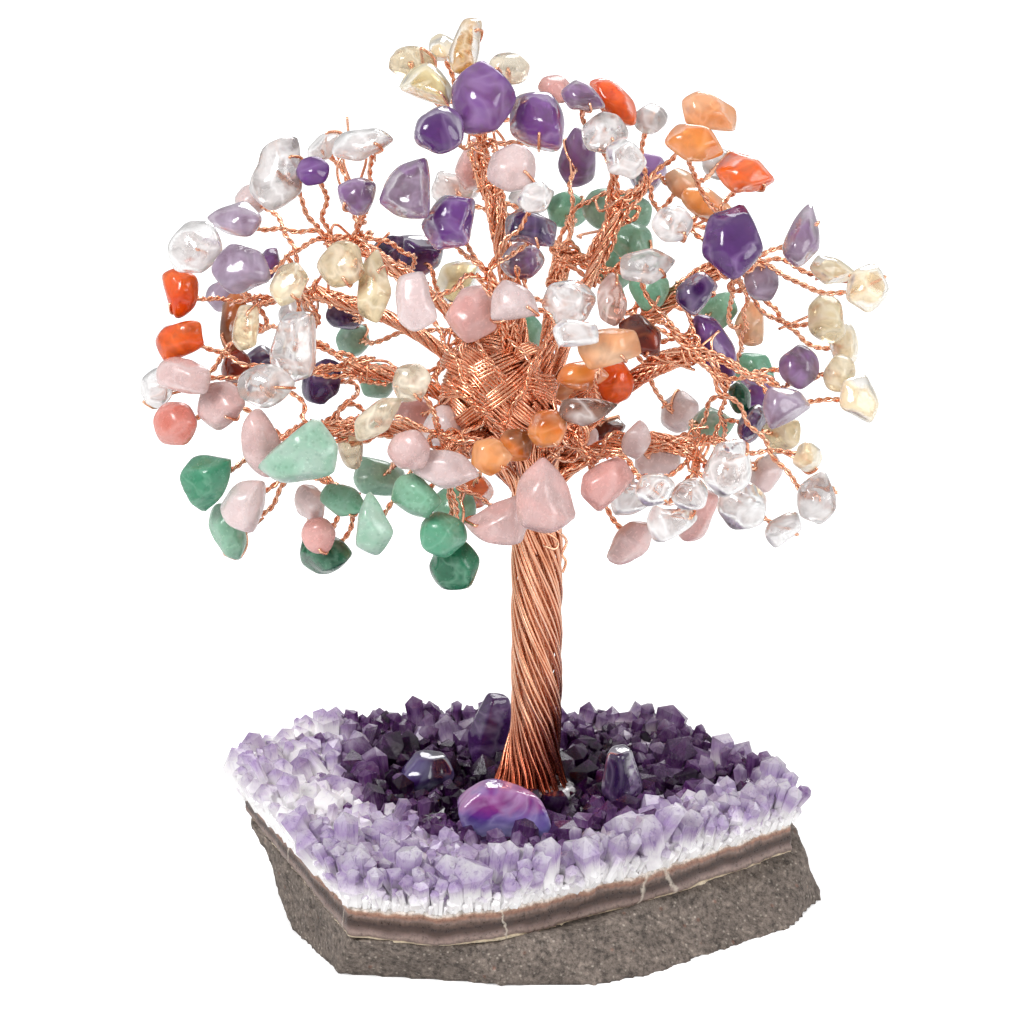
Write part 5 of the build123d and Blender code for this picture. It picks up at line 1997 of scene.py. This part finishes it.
        ahead = (ring_numbers + 1) % CRYSTAL_SIDES
        upper = first + CRYSTAL_SIDES
        quads = np.stack(
            [first + ring_numbers, first + ahead, upper + ahead, upper + ring_numbers], axis=-1,
        ).reshape(-1, 4)
        summit = np.repeat(upper + CRYSTAL_SIDES, CRYSTAL_SIDES, axis=1)
        tips = np.stack([upper + ring_numbers, upper + ahead, summit], axis=-1).reshape(-1, 3)
        floors = first + ring_numbers[::-1]
        share = np.hstack((np.zeros((count, CRYSTAL_SIDES)), shoulder / length[:, None], np.ones((count, 1))))
        rise = root[:, None] + (1.0 - root[:, None]) * share
        above = (places[:, 2] - height_of(BAND_TOP, places)).reshape(count, CRYSTAL_CORNERS)
        behind = clipped(base[:, 1:2] / 12.0)
        stray = draw.uniform(-self.rise_stray, self.rise_stray, (count, 1))
        rise = np.minimum(rise, 0.05 + above / self.white_height + behind + stray)
        rise = rise - 0.3 * clipped((-self.frost_from - base[:, :1]) / self.frost_run)
        away = places.reshape(count, CRYSTAL_CORNERS, 3) - base[:, None, :]
        own = np.stack([np.einsum("ijk,ik->ij", away, axis) for axis in (side, across, way)], axis=-1)
        own += draw.uniform(-300.0, 300.0, (count, 1, 3))
        piece = make_piece(
            "amethyst_points", places, [quads, tips, floors], self.finish,
            {
                "rise": clipped(rise).ravel(), "tone": np.repeat(tone, CRYSTAL_CORNERS),
                "grain": own.reshape(-1, 3), "place": places,
            }, smooth=False,
        )
        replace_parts(piece, "amethyst_crystals")

    def make_bed(self, node: Object) -> None:
        """Roughens the quartz bed that the points stand on.

        Args:
            node: The CAD node.
        """
        places, normals, faces = evenly_meshed(node, self.bed_voxel)
        moved = places + normals * bumps_of(places, self.bed_bumps)[:, None]
        above = places[:, 2] - height_of(BAND_TOP, places)
        piece = make_piece(
            "milky_quartz_bed", moved, [faces], self.finish,
            {
                "rise": np.clip(above * 0.3, 0.0, 0.6),
                "tone": clipped(self.tone_at(places[:, :2]) * clipped(above - 1.0)), "grain": places,
                "place": places,
            }, smooth=False, slot="milky_quartz",
        )
        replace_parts(piece, "quartz_bed")


# Foot stones: deep violet fluorite-like amethyst chips whose colours lie in zones, with pale rings
FOOT_RINGED = StoneFinish(
    "tumbled_ringed_amethyst", "amethyst",
    ((0.0, "1A0A2C"), (0.45, "30154C"), (0.66, "4A3870"), (0.86, "7C80A8"), (1.0, "A8AEC8")), "B9C0D8",
    cloud_mm=6.0, cloud_share=0.1, vein_mm=9.0, vein_share=0.12, band_mm=2.6, band_share=0.34,
    roughness=0.08, transmission=0.2, transmission_in_veins=0.1,
)
FOOT_ZONED = StoneFinish(
    "tumbled_zoned_amethyst", "amethyst",
    ((0.0, "A9AAD8"), (0.25, "8078BC"), (0.5, "62359C"), (0.72, "8E2C86"), (0.9, "A04C98"), (1.0, "7A3A94")),
    "D6D0EC", cloud_mm=4.0, vein_mm=8.0, vein_width=0.09, vein_share=0.3, roughness=0.08, transmission=0.3,
    transmission_in_veins=0.1, bump_mm=2.2, bump=0.4,
)
# Glue: a clear two-part resin, set as it ran; colourless and wet, with a few cloudy threads
CLEAR_GLUE = StoneFinish(
    "set_clear_glue", "clear_glue", ((0.0, "F1F0F2"), (1.0, "E2DEE8")), "FFFFFF", cloud_mm=3.0, vein_mm=3.0,
    vein_width=0.03, vein_share=0.3, roughness=0.05, transmission=0.96, transmission_in_veins=0.7, ior=1.46,
    bump_mm=0.7,
)


@dataclass
class TrunkFoot:
    """The chips and the clear glue that hold the trunk on the rock."""

    ball_subdivisions: int = 4
    first_seed: int = 5200
    glue_waves: tuple[Bumps, ...] = ((0.25, 3.0, 3, 2.2),)
    stones: tuple[tuple[str, StoneFinish, float, float], ...] = (
        ("foot_stone_left", FOOT_RINGED, 0.3, 0.0), ("foot_stone_front", FOOT_ZONED, 0.0, 1.0),
        ("foot_stone_right", AMETHYST, 0.97, 0.0), ("foot_stone_back", AMETHYST, 0.86, 0.0),
    )

    def build(self, nodes: Nodes) -> None:
        """Rounds the foot chips and the pool of glue.

        Args:
            nodes: The CAD nodes by name.
        """
        ball, triangles = unit_ball(self.ball_subdivisions)
        for number, (name, finish, tone, zoned) in enumerate(self.stones):
            solid = cad_solids(nodes[name])[0]
            form = RoundedForm(solid, 13.0, 1.15, 0.12, self.first_seed + number)
            skin = form.skin(ball)
            height = (skin[:, 2] - skin[:, 2].min()) / np.ptp(skin[:, 2])
            tones = tone + zoned * height
            piece = make_piece(
                f"tumbled_{name}", skin, [triangles], finish, {"tone": tones, "grain": form.grain(skin)},
            )
            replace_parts(piece, name)
        self.build_glue(nodes["glue_seat"], ball, triangles)

    def build_glue(self, node: Object, ball: Array, triangles: Array) -> None:
        """Makes the set pool of clear glue: a low lens with a wavy top.

        Args:
            node: The CAD node.
            ball: Points of a unit ball.
            triangles: The ball's triangles.
        """
        form = RoundedForm(cad_solids(node)[0], 6.0, 1.0, 0.2, self.first_seed + 9)
        skin = form.skin(ball)
        skin[:, 2] += bumps_of(skin, self.glue_waves)
        piece = make_piece(
            "set_clear_glue", skin, [triangles], CLEAR_GLUE,
            {"tone": np.full(len(skin), 0.3), "grain": form.grain(skin)},
        )
        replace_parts(piece, "glue_seat")


@dataclass(frozen=True)
class PaperFinish(Finish):
    """White cartridge paper, pressed: matt, faintly fibrous, and lit a little brighter for the camera."""

    name: str = "white_paper_sweep"
    slot: str = ""
    stops: Stops = ((0.3, "F2F2F2"), (0.7, "F8F8F8"))
    lift: float = 0.42

    def shade(self, add: AddNode) -> Node:
        """Draws the paper's shader.

        Args:
            add: Adds a node to its tree.

        Returns:
            The shader.
        """
        seen = add("LightPath")
        place = add("TexCoord").outputs["Object"]
        fibres = add("TexNoise", {"Scale": 400.0, "Detail": 3.0}, {"Vector": place})
        matt = add("BsdfDiffuse", {}, {"Color": add("ValToRGB", {"stops": self.stops}, {"Fac": fibres})})
        glow = add("Math", {**TIMES, 1: self.lift}, {0: seen.outputs["Is Camera Ray"]})
        return add("AddShader", {}, {0: matt, 1: add("Emission", {}, {"Strength": glow})})


@dataclass(frozen=True)
class Studio:
    """A plain pale floor, soft light at a plain level and the camera of the photograph."""

    aim_mm: Point = (-3.9, 0.0, 65.3)
    distance_mm: float = 1000.0
    lens: float = 225.0
    sensor: float = 36.0
    floor_reach_mm: float = 3000.0
    ambient: float = 0.5
    room: tuple[tuple[float, float], ...] = ((0.05, 0.42), (0.45, 1.0), (0.62, 1.0), (0.88, 0.45))
    lamps: tuple[tuple[str, Point, float, float], ...] = (
        ("key_light", (-420.0, -520.0, 620.0), 320.0, 4.6),
        ("fill_light", (560.0, -420.0, 320.0), 420.0, 1.8),
        ("rim_light", (150.0, 560.0, 480.0), 420.0, 1.8),
    )

    def build(self) -> None:
        """Sets the stage."""
        scene = bpy.context.scene
        scene.view_settings.view_transform = "Standard"
        self.place_camera(scene)
        self.light_world(scene)
        self.lay_floor()
        for lamp in self.lamps:
            self.place_lamp(*lamp)

    def place_camera(self, scene: Scene) -> None:
        """Puts the camera where the photograph was taken from.

        Args:
            scene: The scene.
        """
        data = bpy.data.cameras.new("camera")
        data.lens = self.lens
        data.sensor_width = self.sensor
        camera = placed("camera", data)
        aim = np.array(self.aim_mm)
        camera.location = (aim + TO_VIEWER * self.distance_mm) * METRES_PER_MM
        camera.rotation_mode = "QUATERNION"
        camera.rotation_quaternion = Vector(-TO_VIEWER).to_track_quat("-Z", "Y")
        scene.camera = camera

    def light_world(self, scene: Scene) -> None:
        """Gives even light, a white backdrop for camera and glass, and a dimmer room in front for gloss.

        Args:
            scene: The scene.
        """
        world = bpy.data.worlds.new("studio")
        world.use_nodes = True
        world.node_tree.nodes.clear()
        add = partial(add_node, world.node_tree)
        seen = add("LightPath")
        way = add("SeparateXYZ", {}, {0: add("TexCoord").outputs["Generated"]})
        turned = add("Math", {"operation": "MULTIPLY_ADD", 1: 0.5, 2: 0.5}, {0: way.outputs["Y"]})
        room = add("ValToRGB", {"stops": self.room}, {"Fac": turned})
        gloss = add("Math", TIMES, {0: seen.outputs["Is Glossy Ray"], 1: room})
        even = add(
            "Math", {"operation": "MULTIPLY_ADD", 1: -self.ambient, 2: self.ambient},
            {0: seen.outputs["Is Glossy Ray"]},
        )
        lit = add("Math", {"operation": "MAXIMUM"}, {0: gloss, 1: even})
        either = add(
            "Math", {"operation": "MAXIMUM"},
            {0: seen.outputs["Is Camera Ray"], 1: seen.outputs["Is Transmission Ray"]},
        )
        strength = add("Math", {"operation": "MAXIMUM"}, {0: either, 1: lit})
        back = add("Background", {"Color": (1.0, 1.0, 1.0, 1.0)}, {"Strength": strength})
        add("OutputWorld", {}, {"Surface": back})
        scene.world = world

    def lay_floor(self) -> None:
        """Lays a white paper floor that keeps the ornament's shadow."""
        reach = self.floor_reach_mm * METRES_PER_MM
        mesh = bpy.data.meshes.new("paper_floor")
        corners = [(-reach, -reach, 0.0), (reach, -reach, 0.0), (reach, reach, 0.0), (-reach, reach, 0.0)]
        mesh.from_pydata(corners, [], [(0, 1, 2, 3)])
        mesh.materials.append(PaperFinish().material())
        floor = placed("paper_floor", mesh)

    def place_lamp(
        self, name: str, place_mm: Point, size_mm: float, watts: float
    ) -> None:
        """Hangs one soft lamp that faces the ornament.

        Args:
            name: The lamp's name.
            place_mm: Where it hangs.
            size_mm: Its width.
            watts: Its power.
        """
        data = bpy.data.lights.new(name, "AREA")
        data.shape = "DISK"
        data.size = size_mm * METRES_PER_MM
        data.energy = watts
        lamp = placed(name, data)
        lamp.location = np.array(place_mm) * METRES_PER_MM
        aim = Vector(np.array(self.aim_mm) - np.array(place_mm))
        lamp.rotation_mode = "QUATERNION"
        lamp.rotation_quaternion = aim.to_track_quat("-Z", "Y")


def main() -> None:
    """Builds the ornament's looks in order and reports each piece."""
    logging.basicConfig(level=logging.INFO, format="%(message)s")
    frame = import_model()
    nodes = frame["nodes"]
    Studio().build()
    chips = TumbledChips()
    chips.build(nodes)
    CopperTree().build(nodes, chips.chips)
    Rock().build(nodes)
    Druse().build(nodes)
    TrunkFoot().build(nodes)


if __name__ == "__main__":
    main()
